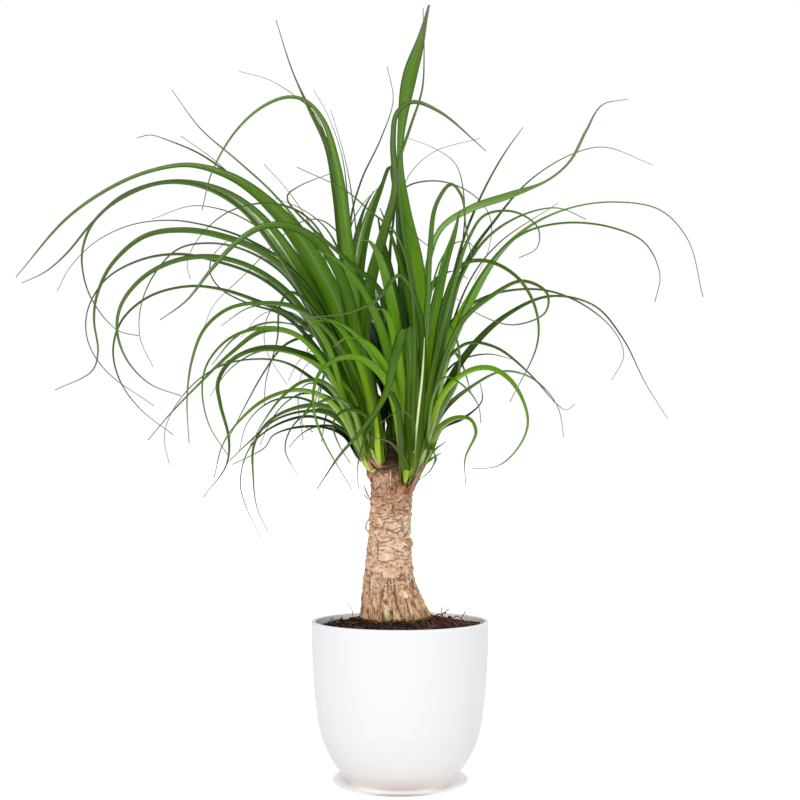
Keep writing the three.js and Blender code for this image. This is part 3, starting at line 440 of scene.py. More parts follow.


# Heads: how much darker than others, as painted shade (the back head, deep in the crown's shade, is darkest
# and the right head lighter), where each stands and leans in the solids, where its leaf bases start, the
# radius and height of its core, and its leaves.
LEFT_HEAD = {
    "name": "left_head",
    "darker": 0,
    "base": (-23, 0, 309),
    "foot": (-19, 0, 306),
    "lean": (-7, 0, 44),
    "radius": 11,
    "height": 62,
    "leaves": [
        seen(16, -60, (-24, 328), (-34, 383), (-50, 443), (-70, 493), (-100, 545), (-135, 583), (-168, 606),
          (-210, 618), (-250, 612), (-290, 595), (-334, 564), (-384, 506), shade=0.2,
          full=((0, 0.4), (0.07, 1), (0.2, 1.25), (0.3, 1.3), (0.4, 1.15), (0.49, 0.8), (0.56, 0.55),
                (0.63, 0.34), (0.7, 0.27), (0.8, 0.24), (0.9, 0.17), (1, 0.04))),
        seen(15, 90, (-26, 328), (-42, 388), (-62, 438), (-88, 488), (-115, 533), (-150, 574), (-185, 595),
          (-230, 602), (-275, 589), (-307, 561), (-334, 529), (-355, 511), (-378, 500), shade=0.32,
          full=((0, 0.4), (0.07, 1), (0.22, 1.2), (0.31, 1.25), (0.41, 1.1), (0.51, 0.7), (0.58, 0.42),
                (0.66, 0.22), (0.72, 0.18), (0.78, 0.22), (0.9, 0.14), (1, 0.04))),
        seen(5, -150, (-28, 331), (-48, 388), (-70, 438), (-95, 485), (-125, 533), (-160, 575), (-200, 597),
          (-240, 600), (-280, 584), (-305, 563), (-316, 540), (-318, 518), (-309, 485), (-283, 453),
          (-261, 447)),
        seen(9, -90, (-30, 331), (-50, 398), (-75, 458), (-105, 503), (-138, 531), (-175, 546), (-215, 553),
          (-255, 547), (-288, 519), (-303, 488), (-306, 463), (-302, 431), (-308, 412), (-345, 393)),
        seen(5, 140, (-30, 328), (-55, 398), (-82, 448), (-110, 483), (-142, 507), (-180, 521), (-220, 529),
          (-260, 523), (-295, 503), (-313, 471), (-312, 441), (-294, 412), (-246, 377)),
        seen(7, -170, (-32, 328), (-55, 393), (-85, 453), (-110, 488), (-145, 514), (-185, 526),
          (-222, 523), (-255, 507), (-278, 480), (-283, 453), (-273, 423), (-250, 399), (-219, 387)),
        seen(5, 180, (-30, 328), (-55, 403), (-85, 463), (-115, 508), (-155, 533), (-190, 540), (-222, 534),
          (-245, 510), (-259, 478), (-260, 445), (-247, 416)),
        seen(3, 60, (-28, 333), (-50, 413), (-82, 483), (-115, 521), (-155, 545), (-195, 558), (-230, 563),
          (-270, 558), (-305, 541), (-330, 516), (-343, 492)),
        seen(3, 200, (-28, 333), (-50, 413), (-80, 483), (-115, 533), (-150, 561), (-180, 574), (-210, 577),
          (-248, 564)),
        seen(4, -120, (-32, 327), (-55, 388), (-80, 443), (-110, 468), (-140, 481), (-175, 493),
          (-210, 497), (-250, 487), (-278, 463), (-287, 433), (-280, 402), (-260, 374), (-227, 348)),
        seen(14, -190, (-23, 328), (-32, 388), (-44, 453), (-60, 508), (-82, 541), (-108, 556), (-135, 557),
          (-162, 542), (-190, 512), (-214, 482), (-240, 463)),
        seen(12, -110, (-22, 328), (-36, 403), (-46, 483), (-54, 553), (-62, 613), (-76, 661), (-94, 682),
          (-112, 686), (-138, 676), (-165, 651), (-188, 611), (-198, 573),
          full=((0, 0.4), (0.08, 1), (0.38, 1), (0.5, 0.85), (0.6, 0.5), (0.68, 0.28), (0.85, 0.16),
                (1, 0.05))),
        seen(14, 40, (-22, 328), (-34, 403), (-45, 473), (-55, 533), (-62, 588), (-72, 635), (-92, 677),
          (-108, 713), (-124, 763),
          full=((0, 0.4), (0.08, 1), (0.5, 1), (0.62, 0.75), (0.72, 0.4), (0.8, 0.25), (0.84, 0.12),
                (1, 0.05))),
        seen(3, 150, (-24, 328), (-40, 413), (-52, 513), (-64, 603), (-82, 665), (-102, 685), (-130, 703),
          (-161, 712)),
        seen(3, 190, (-22, 328), (-34, 413), (-44, 503), (-51, 573), (-58, 628), (-72, 668), (-86, 693)),
        seen(2, 215, (-20, 328), (-30, 413), (-40, 503), (-46, 573), (-55, 625), (-69, 673)),
        seen(5, 110, (-28, 333), (-48, 433), (-70, 508), (-98, 555), (-128, 591), (-162, 622), (-200, 655),
          (-228, 693)),
        seen(6, -40, (-28, 331), (-55, 453), (-100, 548), (-138, 585), (-172, 610), (-200, 629),
          (-230, 642), (-250, 648), (-263, 645)),
        seen(2, 170, (-28, 331), (-58, 450), (-104, 545), (-150, 590), (-188, 625), (-219, 647)),
        seen(2, 220, (-28, 333), (-55, 453), (-80, 538), (-97, 571), (-115, 596), (-136, 619)),
        seen(3, -140, (-28, 333), (-50, 443), (-75, 543), (-100, 571), (-135, 580), (-172, 571),
          (-200, 547), (-213, 521), (-210, 504)),
        seen(6, 70, (-32, 328), (-55, 388), (-82, 433), (-115, 467), (-155, 481), (-180, 495), (-190, 511),
          (-187, 527), (-172, 543)),
        seen(3, 150, (-22, 333), (-34, 453), (-50, 533), (-78, 563), (-100, 561), (-125, 540), (-154, 510),
          (-187, 477), (-197, 453)),
        seen(6, -200, (-32, 327), (-55, 383), (-75, 443), (-102, 474), (-135, 480), (-170, 475),
          (-195, 455), (-208, 423), (-213, 383), (-211, 340)),
        seen(4, 160, (-32, 327), (-55, 393), (-82, 446), (-110, 471), (-138, 469), (-159, 446)),
        seen(5, -150, (-34, 327), (-55, 378), (-80, 425), (-107, 450), (-138, 455), (-170, 445),
          (-192, 421), (-198, 395), (-191, 358), (-171, 326)),
        seen(7, -60, (-32, 327), (-54, 378), (-80, 428), (-110, 451), (-138, 452), (-170, 429), (-200, 400),
          (-230, 369), (-252, 343)),
        seen(5, -220, (-36, 327), (-55, 363), (-75, 385), (-100, 393), (-130, 386), (-157, 366),
          (-178, 337), (-186, 305)),
        seen(6, 190, (-22, 328), (-24, 383), (-34, 425), (-55, 444), (-85, 448), (-115, 438), (-136, 411),
          (-157, 373), (-172, 343)),
        seen(7, -100, (-34, 327), (-52, 378), (-78, 415), (-105, 431), (-138, 435), (-168, 423),
          (-182, 401), (-180, 380), (-171, 343), (-174, 317), (-197, 286)),
        seen(3, 110, (-36, 327), (-55, 375), (-82, 400), (-115, 421), (-150, 424), (-180, 417), (-208, 398),
          (-230, 368), (-236, 345), (-230, 315)),
        seen(2, 230, (-30, 333), (-55, 413), (-90, 465), (-120, 480), (-134, 463), (-134, 433),
          (-113, 398)),
        seen(4, -130, (-28, 333), (-50, 413), (-85, 473), (-110, 491), (-120, 478), (-123, 443),
          (-134, 403), (-136, 378)),
        seen(5, -210, (-36, 326), (-55, 373), (-75, 400), (-95, 402), (-118, 386), (-138, 359),
          (-150, 337)),
        seen(4, 150, (-38, 326), (-55, 358), (-78, 376), (-105, 386), (-134, 379), (-154, 358),
          (-161, 331)),
        seen(5, 200, (-36, 326), (-52, 368), (-75, 387), (-100, 389), (-120, 375), (-133, 355),
          (-140, 338)),
        seen(4, -60, (-38, 326), (-52, 353), (-70, 369), (-95, 372), (-125, 363), (-150, 342),
          (-171, 322)),
        seen(4, -160, (-36, 327), (-50, 365), (-75, 377), (-105, 375), (-132, 361), (-146, 338),
          (-147, 308), (-143, 275), (-132, 251)),
        seen(2.5, 90, (-40, 326), (-55, 347), (-75, 356), (-108, 355), (-128, 347), (-135, 336),
          (-150, 327), (-169, 318)),
        seen(5, -180, (-34, 327), (-45, 368), (-60, 384), (-80, 381), (-95, 371), (-98, 359), (-87, 351)),
        seen(4, 180, (-40, 325), (-50, 345), (-65, 356), (-82, 357), (-100, 348), (-111, 336)),
        seen(2.5, -120, (-38, 326), (-52, 358), (-70, 374), (-92, 371), (-110, 353), (-115, 333),
          (-103, 308)),
        seen(3, 210, (-36, 328), (-50, 378), (-75, 398), (-95, 398), (-102, 383), (-97, 343)),
        seen(4, -150, (-28, 328), (-28, 358), (-40, 371), (-57, 372), (-67, 359), (-60, 336), (-50, 320)),
        seen(2, 60, (-38, 327), (-55, 353), (-90, 367), (-130, 355), (-152, 333), (-160, 299), (-152, 271),
          (-137, 241)),
        seen(3, 200, (-34, 331), (-48, 403), (-65, 436), (-85, 434), (-102, 421), (-112, 402)),
        seen(4, 235, (-34, 330), (-48, 398), (-65, 431), (-85, 425), (-97, 413), (-101, 400)),
        seen(5, 160, (-22, 328), (-34, 413), (-46, 493), (-50, 558), (-39, 602), (-19, 645), (-7, 683),
          (-13, 717)),
        seen(9, -60, (-22, 328), (-34, 413), (-40, 493), (-32, 551), (-20, 591), (-10, 617), (-7, 601),
          (2, 568), (18, 545), (35, 533)),
        seen(14, -130, (-20, 328), (-34, 403), (-36, 453), (-29, 503), (-16, 551), (-5, 593), (-7, 643),
          (-3, 670), (12, 681), (40, 671), (86, 632)),
        seen(5, 120, (-24, 328), (-38, 413), (-50, 493), (-50, 553), (-38, 578), (-20, 597)),
        seen(11, 60, (-22, 328), (-32, 403), (-42, 473), (-40, 533), (-28, 578), (-14, 608),
          full=LATE_NARROWING),
        seen(8, 150, (-24, 328), (-38, 413), (-48, 473), (-56, 513), (-63, 536), (-76, 557), (-98, 574),
          (-125, 585)),
        seen(8, 30, (-30, 328), (-42, 388), (-58, 443), (-76, 480), (-96, 520), (-116, 552), (-140, 580)),
        seen(9, 130, (-24, 328), (-36, 403), (-44, 473), (-46, 523), (-42, 553), (-34, 578), (-26, 592),
          full=LATE_NARROWING),
        arching(-128, 320, 120, 10),
        arching(128, 350, 130, 11),
        arching(150, 300, 140, 10),
        arching(-108, 270, 112, 9),
        arching(-142, 240, 120, 9),
    ],
}

FRONT_HEAD = {
    "name": "front_head",
    "darker": 0.02,
    "base": (5, -27, 300),
    "foot": (5, -26, 299),
    "lean": (4, -3, 46),
    "radius": 7.5,
    "height": 58,
    "leaves": [
        seen(14, -170, (11, 309), (12, 363), (12, 413), (6, 456), (-4, 431), (-15, 388), (-38, 353),
          (-60, 328), (-83, 294)),
        seen(6, -150, (4, 313), (-3, 378), (-12, 391), (-26, 365), (-39, 333), (-43, 308), (-41, 293)),
        seen(7, -190, (4, 313), (-2, 363), (-15, 403), (-38, 424), (-60, 425), (-80, 411), (-87, 383),
          (-78, 346), (-48, 293)),
        seen(8, -120, (8, 311), (8, 383), (2, 453), (-22, 495), (-55, 525), (-88, 555), (-113, 586),
          (-102, 596), (-68, 610)),
        seen(4, -200, (10, 313), (14, 403), (12, 493), (-4, 549), (-30, 572), (-55, 593), (-103, 616)),
        seen(15, -60, (10, 309), (18, 383), (22, 453), (16, 521), (6, 573), (0, 623), (3, 668), (10, 708),
          (20, 741), (29, 778),
          full=((0, 0.4), (0.06, 1), (0.45, 1), (0.6, 0.55), (0.68, 0.36), (0.74, 0.5), (0.83, 1),
                (0.88, 0.9), (0.93, 0.5), (0.97, 0.25), (1, 0.1))),
        seen(7, -110, (12, 309), (20, 393), (14, 483), (2, 563), (-1, 618), (10, 655), (22, 693), (24, 733),
          (23, 775)),
        seen(9, -160, (12, 309), (20, 403), (27, 473), (30, 533), (36, 578), (51, 599), (62, 586),
          (66, 555), (73, 521)),
        seen(10, -90, (13, 309), (17, 373), (25, 443), (38, 495), (50, 535), (59, 569)),
        seen(4, -130, (8, 313), (0, 331), (-15, 343), (-32, 346)),
        seen(3, -100, (10, 320), (14, 343), (13, 363), (5, 371), (-8, 369), (-20, 359)),
        seen(7, 40, (14, 321), (16, 403), (13, 463), (7, 493), (0, 520), (-9, 548), (-20, 575),
          full=LATE_NARROWING),
        seen(9, -120, (12, 309), (20, 383), (22, 453), (14, 487), (4, 504), (-1, 508), (-10, 500), (-22, 484),
          (-40, 474), (-62, 468), (-90, 466)),
        arching(-112, 330, 92, 11),
        arching(-84, 360, 98, 12),
        arching(-98, 290, 108, 10),
        arching(-78, 250, 110, 10),
        arching(-124, 270, 104, 9),
    ],
}

RIGHT_HEAD = {
    "name": "right_head",
    "darker": -0.13,
    "base": (21, 3, 309),
    "foot": (13, 1, 304),
    "lean": (5, 1, 44),
    "radius": 9,
    "height": 58,
    "leaves": [
        seen(11, -60, (22, 321), (33, 378), (47, 433), (70, 483), (98, 528), (130, 557), (170, 575),
          (215, 581), (260, 573), (288, 543), (303, 486), shade=0.1,
          full=((0, 0.4), (0.08, 1.1), (0.25, 1.1), (0.38, 0.75), (0.47, 0.42), (0.56, 0.22), (0.64, 0.13),
                (0.8, 0.1), (1, 0.04))),
        seen(10, 110, (16, 321), (20, 403), (24, 493), (40, 553), (70, 574), (110, 588), (148, 603),
          (170, 622), (186, 652), (202, 678), (228, 684), shade=0.1,
          full=((0, 0.4), (0.1, 0.9), (0.4, 0.55), (0.48, 0.65), (0.6, 1), (0.66, 0.85), (0.72, 0.3),
                (0.78, 0.24), (0.86, 0.36), (0.93, 0.2), (1, 0.05))),
        seen(5, 170, (22, 321), (40, 423), (65, 518), (95, 563), (130, 603), (172, 629), (205, 636),
          (253, 618)),
        seen(5, -120, (22, 321), (38, 413), (60, 503), (88, 546), (125, 569), (158, 575), (186, 564)),
        seen(3, -180, (24, 321), (45, 423), (85, 513), (120, 548), (162, 560), (210, 556), (245, 540),
          (260, 508), (255, 481)),
        seen(2.5, 140, (24, 321), (45, 433), (70, 503), (100, 541), (158, 580)),
        seen(6, -200, (20, 321), (35, 423), (55, 503), (68, 543), (85, 568), (115, 571), (138, 555),
          (137, 535), (119, 525)),
        seen(6, -150, (22, 321), (32, 403), (45, 483), (62, 518), (87, 522), (118, 505), (136, 473),
          (137, 438), (110, 381)),
        seen(6, -210, (24, 321), (40, 408), (62, 461), (90, 486), (122, 502), (147, 490), (145, 470),
          (112, 458), (80, 468), (55, 485)),
        seen(5, 60, (22, 321), (32, 393), (50, 458), (85, 486), (135, 494), (175, 483), (212, 455),
          (224, 428), (212, 403)),
        seen(6, 120, (26, 321), (43, 388), (68, 431), (105, 467), (150, 487), (195, 477), (224, 443),
          (245, 401), (268, 364)),
        seen(4, 200, (24, 323), (32, 383), (55, 420), (88, 429), (112, 424)),
        seen(5, -100, (24, 323), (35, 403), (65, 439), (95, 436), (130, 409), (155, 381), (166, 373),
          (175, 379)),
        seen(6, -190, (24, 321), (40, 383), (65, 410), (90, 415), (113, 400), (128, 363), (120, 338),
          (98, 317), (72, 314)),
        seen(4, 150, (26, 321), (40, 367), (75, 399), (105, 412), (135, 403), (158, 376), (164, 346)),
        seen(2.5, -160, (24, 323), (32, 383), (45, 406), (65, 396), (79, 376), (81, 360)),
        seen(6, 180, (26, 323), (40, 354), (65, 366), (82, 383), (80, 400)),
        seen(5, -130, (26, 323), (38, 353), (55, 365), (70, 364), (76, 351), (65, 323), (66, 297)),
        seen(7, -170, (24, 323), (40, 371), (57, 403), (58, 438), (43, 476)),
        seen(3, -60, (24, 321), (32, 337), (36, 326), (30, 312), (15, 299)),
        seen(5, 90, (20, 321), (38, 433), (60, 533), (80, 585), (103, 628), (123, 656),
          full=((0, 0.4), (0.1, 0.9), (0.55, 0.6), (0.75, 0.5), (0.9, 0.55), (0.97, 0.3), (1, 0.08))),
        seen(3, 200, (20, 321), (40, 443), (62, 533), (64, 588), (55, 620), (30, 637), (-3, 648)),
        seen(5, -140, (18, 321), (25, 453), (40, 521), (55, 540), (70, 540), (76, 528)),
        seen(3, -20, (24, 321), (35, 334), (45, 341)),
        seen(3, 20, (22, 317), (32, 325), (41, 330)),
        seen(10, 40, (22, 321), (26, 403), (32, 453), (38, 488), (46, 523), (54, 548), (60, 573),
          full=LATE_NARROWING),
        arching(84, 340, 130, 11),
        arching(74, 300, 120, 10),
        arching(96, 240, 150, 9),
    ],
}

BACK_HEAD = {
    "name": "back_head",
    "darker": 0.27,
    "base": (-4, 23, 312),
    "foot": (-4, 21, 309),
    "lean": (0, 7, 44),
    "radius": 9.5,
    "height": 60,
    "leaves": [
        seen(5, 180, (-15, 333), (-12, 453), (-8, 553), (3, 594), (40, 602), (75, 587), (91, 563),
          (88, 531), (75, 503)),
        seen(2, 210, (-8, 333), (-2, 483), (0, 573), (7, 605), (33, 631), (80, 645)),
        seen(9, 40, (-8, 333), (0, 403), (0, 463), (-6, 493), (-12, 520), (-18, 545), (-22, 565),
          full=LATE_NARROWING),
        seen(9, 60, (-6, 333), (4, 403), (6, 463), (3, 503), (0, 543), (-2, 583), (-3, 613),
          full=LATE_NARROWING),
        arching(90, 430, 125, 14),
        arching(112, 400, 130, 13),
        arching(68, 410, 128, 13),
        arching(135, 380, 140, 12),
        arching(47, 370, 140, 12),
        arching(100, 350, 150, 12),
        arching(78, 340, 155, 11),
        arching(122, 330, 155, 11),
        arching(62, 320, 140, 11),
        arching(150, 300, 150, 10),
        arching(90, 280, 165, 10),
        arching(108, 270, 160, 10),
        arching(70, 270, 160, 10),
        arching(130, 240, 165, 9),
        arching(86, 230, 165, 9),
        arching(95, 380, 95, 12),
        arching(75, 390, 85, 12),
        arching(115, 360, 90, 12),
        arching(60, 330, 95, 11),
        arching(140, 330, 95, 11),
    ],
}

HEADS = [LEFT_HEAD, FRONT_HEAD, RIGHT_HEAD, BACK_HEAD]


def width_share(share):
    """A blade is fullest from a fifth to two fifths of its length, and then narrows to a thread."""
    opening = np.minimum(1, 0.5 + 2.5 * share)
    taper = np.maximum(0, (share - 0.38) / 0.62)
    return opening * (1 - 0.95 * taper**1.25)


def pieces_of(points, width, head):
    """The straight pieces of a leaf's middle line, with the room that the blade needs there."""
    ends = curve_points(points, np.linspace(0, 1, CHECKED_STEPS + 1))
    share = (np.arange(CHECKED_STEPS) + 0.5) / CHECKED_STEPS
    return {
        "a": ends[:-1],
        "b": ends[1:],
        "room": LEAST_ROOM + ROOM_SHARE * width * width_share(share),
        "head": np.full(CHECKED_STEPS, head),
        "root": share < ROOT_SHARE,
    }


def room_left(one, other):
    """The least room between two sets of straight pieces. Roots of one head may touch."""
    u = (one["b"] - one["a"])[:, None]
    v = (other["b"] - other["a"])[None]
    w = one["a"][:, None] - other["a"][None]
    uu, vv = (u * u).sum(-1), (v * v).sum(-1)
    uv, uw, vw = (u * v).sum(-1), (u * w).sum(-1), (v * w).sum(-1)
    slant = uu * vv - uv * uv
    s = np.where(slant > 1e-9, np.clip((uv * vw - vv * uw) / np.maximum(slant, 1e-9), 0, 1), 0)
    t = np.clip((uv * s + vw) / vv, 0, 1)
    s = np.clip((uv * t - uw) / uu, 0, 1)
    gap = np.linalg.norm(w + u * s[..., None] - v * t[..., None], axis=-1)
    same = one["head"][:, None] == other["head"][None]
    rooms = (one["room"][:, None] + other["room"][None]) * np.where(same, SAME_HEAD_SHARE, 1)
    skipped = same & (one["root"][:, None] | other["root"][None])
    return np.where(skipped, np.inf, gap - rooms).min()


def place_leaves():
    """Gives each leaf its place and twist: its own place first, and then places on either side of that."""
    draws = random_draws(PLACING_SEED)
    bases = np.array([head["base"] for head in HEADS], float)
    leans = unit(np.array([head["lean"] for head in HEADS], float))
    placed = {
        "a": bases,
        "b": bases + leans * np.array([[head["height"]] for head in HEADS]),
        "room": np.array([head["radius"] for head in HEADS], float),
        "head": np.arange(len(HEADS)),
        "root": np.full(len(HEADS), True),
    }
    for number, head in enumerate(HEADS):
        for leaf in head["leaves"]:
            leaf["twist"] = (2 * next(draws) - 1) * MOST_TWIST
            best = -np.inf
            for i in range(PLACES_TRIED):
                points = leaf["middles"](head, (i + 1) // 2 if i % 2 else -i // 2)
                pieces = pieces_of(points, leaf["width"], number)
                room = room_left(pieces, placed)
                if room > best:
                    best, leaf["points"], chosen = room, points, pieces
                if best >= 0:
                    break
            placed = {key: np.concatenate([placed[key], chosen[key]]) for key in placed}


LEAF_FIELDS = ("reach", "share", "across", "under", "tone", "pale")


def slow_turn(upper, along):
    """Upper sides that turn about the leaf's line by no more than MOST_TURN from one place to the next."""
    kept = upper.copy()
    for i in range(1, len(upper)):
        last = kept[i - 1] - along[i] * (kept[i - 1] @ along[i])
        last /= np.linalg.norm(last)
        wanted = upper[i] if upper[i] @ last >= 0 else -upper[i]
        angle = math.atan2(np.cross(last, wanted) @ along[i], last @ wanted)
        angle = max(-MOST_TURN, min(MOST_TURN, angle))
        kept[i] = last * math.cos(angle) + np.cross(along[i], last) * math.sin(angle)
    return kept


def add_blade(shape, leaf, draw, tone):
    """One leaf: a thin strip, cupped along its upper side, that ends in a thread."""
    middle, share, length = even_points(leaf["points"], BLADE_STEP)
    along = unit(np.gradient(middle, axis=0))
    wobble = 0.1 * np.sin(2 * math.pi * (2.3 * share + next(draw)))
    upper = slow_turn(leaf["upper_sides"](share, along, leaf["twist"]), along)
    across = np.cross(along, upper)
    upper = unit(upper + across * wobble[:, None])
    full = value_at(leaf["full"] or NARROWING, share)
    full = np.convolve(np.pad(full, 3, "edge"), (0.1, 0.15, 0.15, 0.2, 0.15, 0.15, 0.1), "valid")
    widths = np.maximum(TIP_WIDTH, leaf["width"] * full)
    cup = CUP_SHARE + 0.16 * np.exp(-length * share / 50) - 0.03 * share
    thick = np.minimum(BLADE_THICK, 0.35 + 0.5 * widths / leaf["width"])
    points, where, beneath, line = ribbon(middle, upper, widths, thick, cup)
    counted = LATE_SHARE * share if leaf["full"] is LATE_NARROWING else share
    reach, shares = (ended(np.repeat(values, points.shape[1]), values[0], values[-1])
                     for values in (length * share * MM, counted))
    shape.add_rings(points, lines=ended(line), reach=reach, share=shares, across=ended(where),
                    under=ended(beneath, 0.5), tone=tone)


def turned_to(points, lean, base):
    """Points that stood along the Z axis, turned to lean that way, and moved to base."""
    up = unit(np.array(lean, float))
    side = unit(np.cross([0, 1, 0], up))
    return points @ np.stack([side, np.cross(up, side), up]) + base


def stem_of(head):
    """The way from a head's foot up its stem."""
    return np.add(head["base"], head["lean"]) - head["foot"]


def core_radius(head, height):
    """Radius of the stem that a head's leaves sheathe, at a height above its foot."""
    tall = head["height"]
    shares = [(0, 0.2), (5, 0.6), (0.35 * tall, 0.93), (0.7 * tall, 1), (tall, 0.62), (1.4 * tall, 0.9)]
    return value_at([(z, share * head["radius"]) for z, share in shares], height)


def add_core(shape, head):
    """The short stem between the leaf bases of a head, painted dark as the shade between them."""
    heights = np.linspace(0.5, head["height"], 9)
    radii, heights = np.array(smooth_outline([(float(core_radius(head, z)), z) for z in heights], 2)).T
    points = rings(0.94 * radii, heights, 40)
    reach = ended(points[..., 2] * MM, 0, head["height"] * MM)
    shape.add(turned_to(capped(points), stem_of(head), head["foot"]), skin(*points.shape[:2]), reach=reach,
              share=0.1, under=0.6, tone=0.85)


def add_sheaths(shape, head, draw):
    """The broad bases of outer leaves, which clasp the stem one over another."""
    radius, tall = head["radius"], head["height"]
    count = round(1.3 * radius)
    share = np.linspace(0, 1, SHEATH_STEPS)
    for i in range(count):
        turn = 2.4 * i + 0.5 * next(draw)
        length = tall * (0.75 + 0.85 * next(draw))
        height = 0.4 + length * share
        away = core_radius(head, height) + 0.2 + 1.3 * i / count + 0.08 * np.maximum(0, height - tall)
        turns = turn + 0.5 * (next(draw) - 0.5) * share
        middle = polar(away, turns, height)
        both = np.vstack([middle, middle + polar(1, turns, 0)])
        middle, outside = np.split(turned_to(both, stem_of(head), head["foot"]), 2)
        widths = radius * (0.55 + 0.5 * next(draw)) * smoothstep(-4, 14, height) * (1 - share**2.5)
        points, where, beneath, line = ribbon(middle, outside - middle, np.maximum(0.8, widths), 0.7, -0.13)
        reach = ended(np.repeat(height * MM * 0.8, points.shape[1]), 0, height[-1] * MM)
        # Random tone, darkened by the head's painted shade.
        tone = 0.5 * next(draw) ** 1.5 + max(0, head["darker"])
        shape.add_rings(points, lines=ended(line), reach=reach, share=0.1, across=ended(where),
                        under=ended(beneath, 0.5), tone=tone)


# Short leaves and leaf bases at the front, where the two thin, palest strips are painted highlights: the
# head, points (x, y, height), width and how pale.
FRONT_LEAVES_AND_HIGHLIGHTS = [
    (FRONT_HEAD, ((12, -37, 318), (14.5, -46, 338), (16.5, -56, 358), (18.5, -66, 378), (20.5, -76, 396),
                  (22, -86, 416), (23, -98, 438)), 2.2, 0.9),
    (FRONT_HEAD, ((5, -33, 301), (7, -35, 312), (10, -38, 330), (12, -42, 352), (13, -48, 375)), 6, 0),
    (RIGHT_HEAD, ((20, -12, 318), (25, -15, 332), (30, -18, 346), (35, -22, 362)), 2.8, 0.75),
    (RIGHT_HEAD, ((17, -9, 312), (22, -12, 325), (26, -14, 340), (29, -16, 358)), 6, 0.1),
    (LEFT_HEAD, ((-18, -12.5, 311), (-26, -12.5, 312), (-33, -11, 317), (-38, -8, 327), (-43, -4, 345)),
     5, 0.2),
    (LEFT_HEAD, ((-20, -14, 318), (-22, -16, 330), (-23, -18, 346), (-24, -20, 368)), 6, 0),
]


def add_front_strip(shape, middle, width, pale):
    """A short narrow strip that faces the front and is paler at its foot: a leaf base, and where very pale, a
    painted highlight.
    """
    middle, share, length = even_points(middle, 3)
    points, where, _, line = ribbon(middle, (0, -1, 0.1), tapered(share, width, 0.5), 0.5, 0.05)
    reach, fading = (np.repeat(values, points.shape[1])
                     for values in (0.05 + share * length * MM * 0.5, 1 - 0.6 * share**2))
    shape.add_rings(points, lines=ended(line), reach=ended(reach), share=0.1, across=ended(0.7 * where),
                    pale=pale * ended(fading, 1, 0.4))


def make_heads(material):
    place_leaves()
    draw = random_draws(HEAD_SEED)
    for head in HEADS:
        shape = Shape(*LEAF_FIELDS)
        add_core(shape, head)
        add_sheaths(shape, head, draw)
        for grown_from, *leaf in FRONT_LEAVES_AND_HIGHLIGHTS:
            if grown_from is head:
                add_front_strip(shape, *leaf)
        for leaf in head["leaves"]:
            # The leaf's painted shade and its head's, with a random spread, give its tone.
            shade = leaf["shade"] + head["darker"]
            spread = 0.75 - 0.02 * leaf["width"]
            add_blade(shape, leaf, draw, min(1, max(0, shade + spread * (next(draw) - 0.5))))
        shape.piece(head["name"] + "_leaves", material, "leaf_green", head["name"])


# Pot
def make_pot(material):
    """One shell: foot ring, groove, bowl, rounded rim and inside."""
    rim = []
    for angle in range(6, 180, 12):
        inward = WALL - RIM_ROUND if angle > 90 else RIM_ROUND
        radius = RIM_RADIUS - inward + RIM_ROUND * math.cos(math.radians(angle))
        rim.append((radius, RIM_START + RIM_ROUND * math.sin(math.radians(angle))))
    edge = [(FOOT_RADIUS - 0.8 * FOOT_EDGE * (1 - math.sin(a)), 0.8 * FOOT_EDGE * (1 - math.cos(a)))
            for a in np.linspace(0, math.pi / 2, 5)]
    foot = [(12, 0), (30, 0), (FOOT_RADIUS - 2, 0), *edge, (FOOT_RADIUS, FOOT_HEIGHT - 0.4)]
    groove = [(FOOT_RADIUS + 0.1, FOOT_HEIGHT), (FOOT_RADIUS + 0.5, FOOT_HEIGHT + 0.8)]
    outside, inside = (smooth_outline(points, BOWL_STEP) for points in (BOWL_OUTSIDE, BOWL_INSIDE))
    floor = [(30, POT_FLOOR), (12, POT_FLOOR)]
    profile = foot + groove + outside + rim + inside + floor
    radii, heights = zip(*profile)
    points = rings(radii, heights, POT_SIDES)
    inner = np.arange(len(profile)) >= len(profile) - len(inside) - len(floor) - INNER_RIM_ROWS
    shape = Shape("inside")
    shape.add_rings(points, inside=ended(np.repeat(inner, POT_SIDES), 0, 1))
    shape.piece("white_pot", material, "pot_white", "pot")


# Trunk
def bark_outline(height):
    """Radius of the bark at a height, without its ridges."""
    return value_at([(z, r) for r, z in BARK], height)


def ridges(angle, height):
    """How far the flare's ridges stand out, which fade upward."""
    fade = np.exp(-np.maximum(0, height - SOIL_AT_WALL) / RIDGE_FADE)
    return RIDGE_HEIGHT * fade * np.cos(RIDGE_COUNT * angle)


# Cracks in the bark: x where it starts and ends, the heights there, and its width.
CRACKS = [
    (-23, -22.5, 242, 227, 0.9), (-5, -3.5, 200, 183, 1.0), (-3.5, 1, 183, 170, 1.3), (4, 5, 212, 203, 0.8),
    (-7, -6, 280, 270, 0.9), (2, 5, 262, 254, 0.7), (-3, 2, 258, 262, 0.6), (9, 12, 210, 196, 0.8),
    (-19, -20, 192, 172, 0.9), (-14, -16, 186, 168, 0.7), (14, 19, 186, 168, 0.9), (-29, -31, 214, 200, 0.8),
]
# Plates of bark that stand out: x and height of the middle, half the width and height, and how pale.
PLATES = [
    (-3.5, 257, 6.5, 4.2, 1.0), (6, 258, 4, 9, 0.8), (-24, 301, 5, 6, 0.5), (-21, 292, 2.6, 2.4, 1.0),
    (-20, 262, 4, 5, 0.8), (2, 237, 7, 3.6, 0.8), (-14, 227, 8, 4, 0.7), (-13, 172, 3, 9, 0.9),
    (4, 190, 5, 3.5, 0.8), (-8, 211, 9, 5, 0.4), (-16, 246, 7, 3, 0.7), (5, 213, 4, 5, 0.6),
]


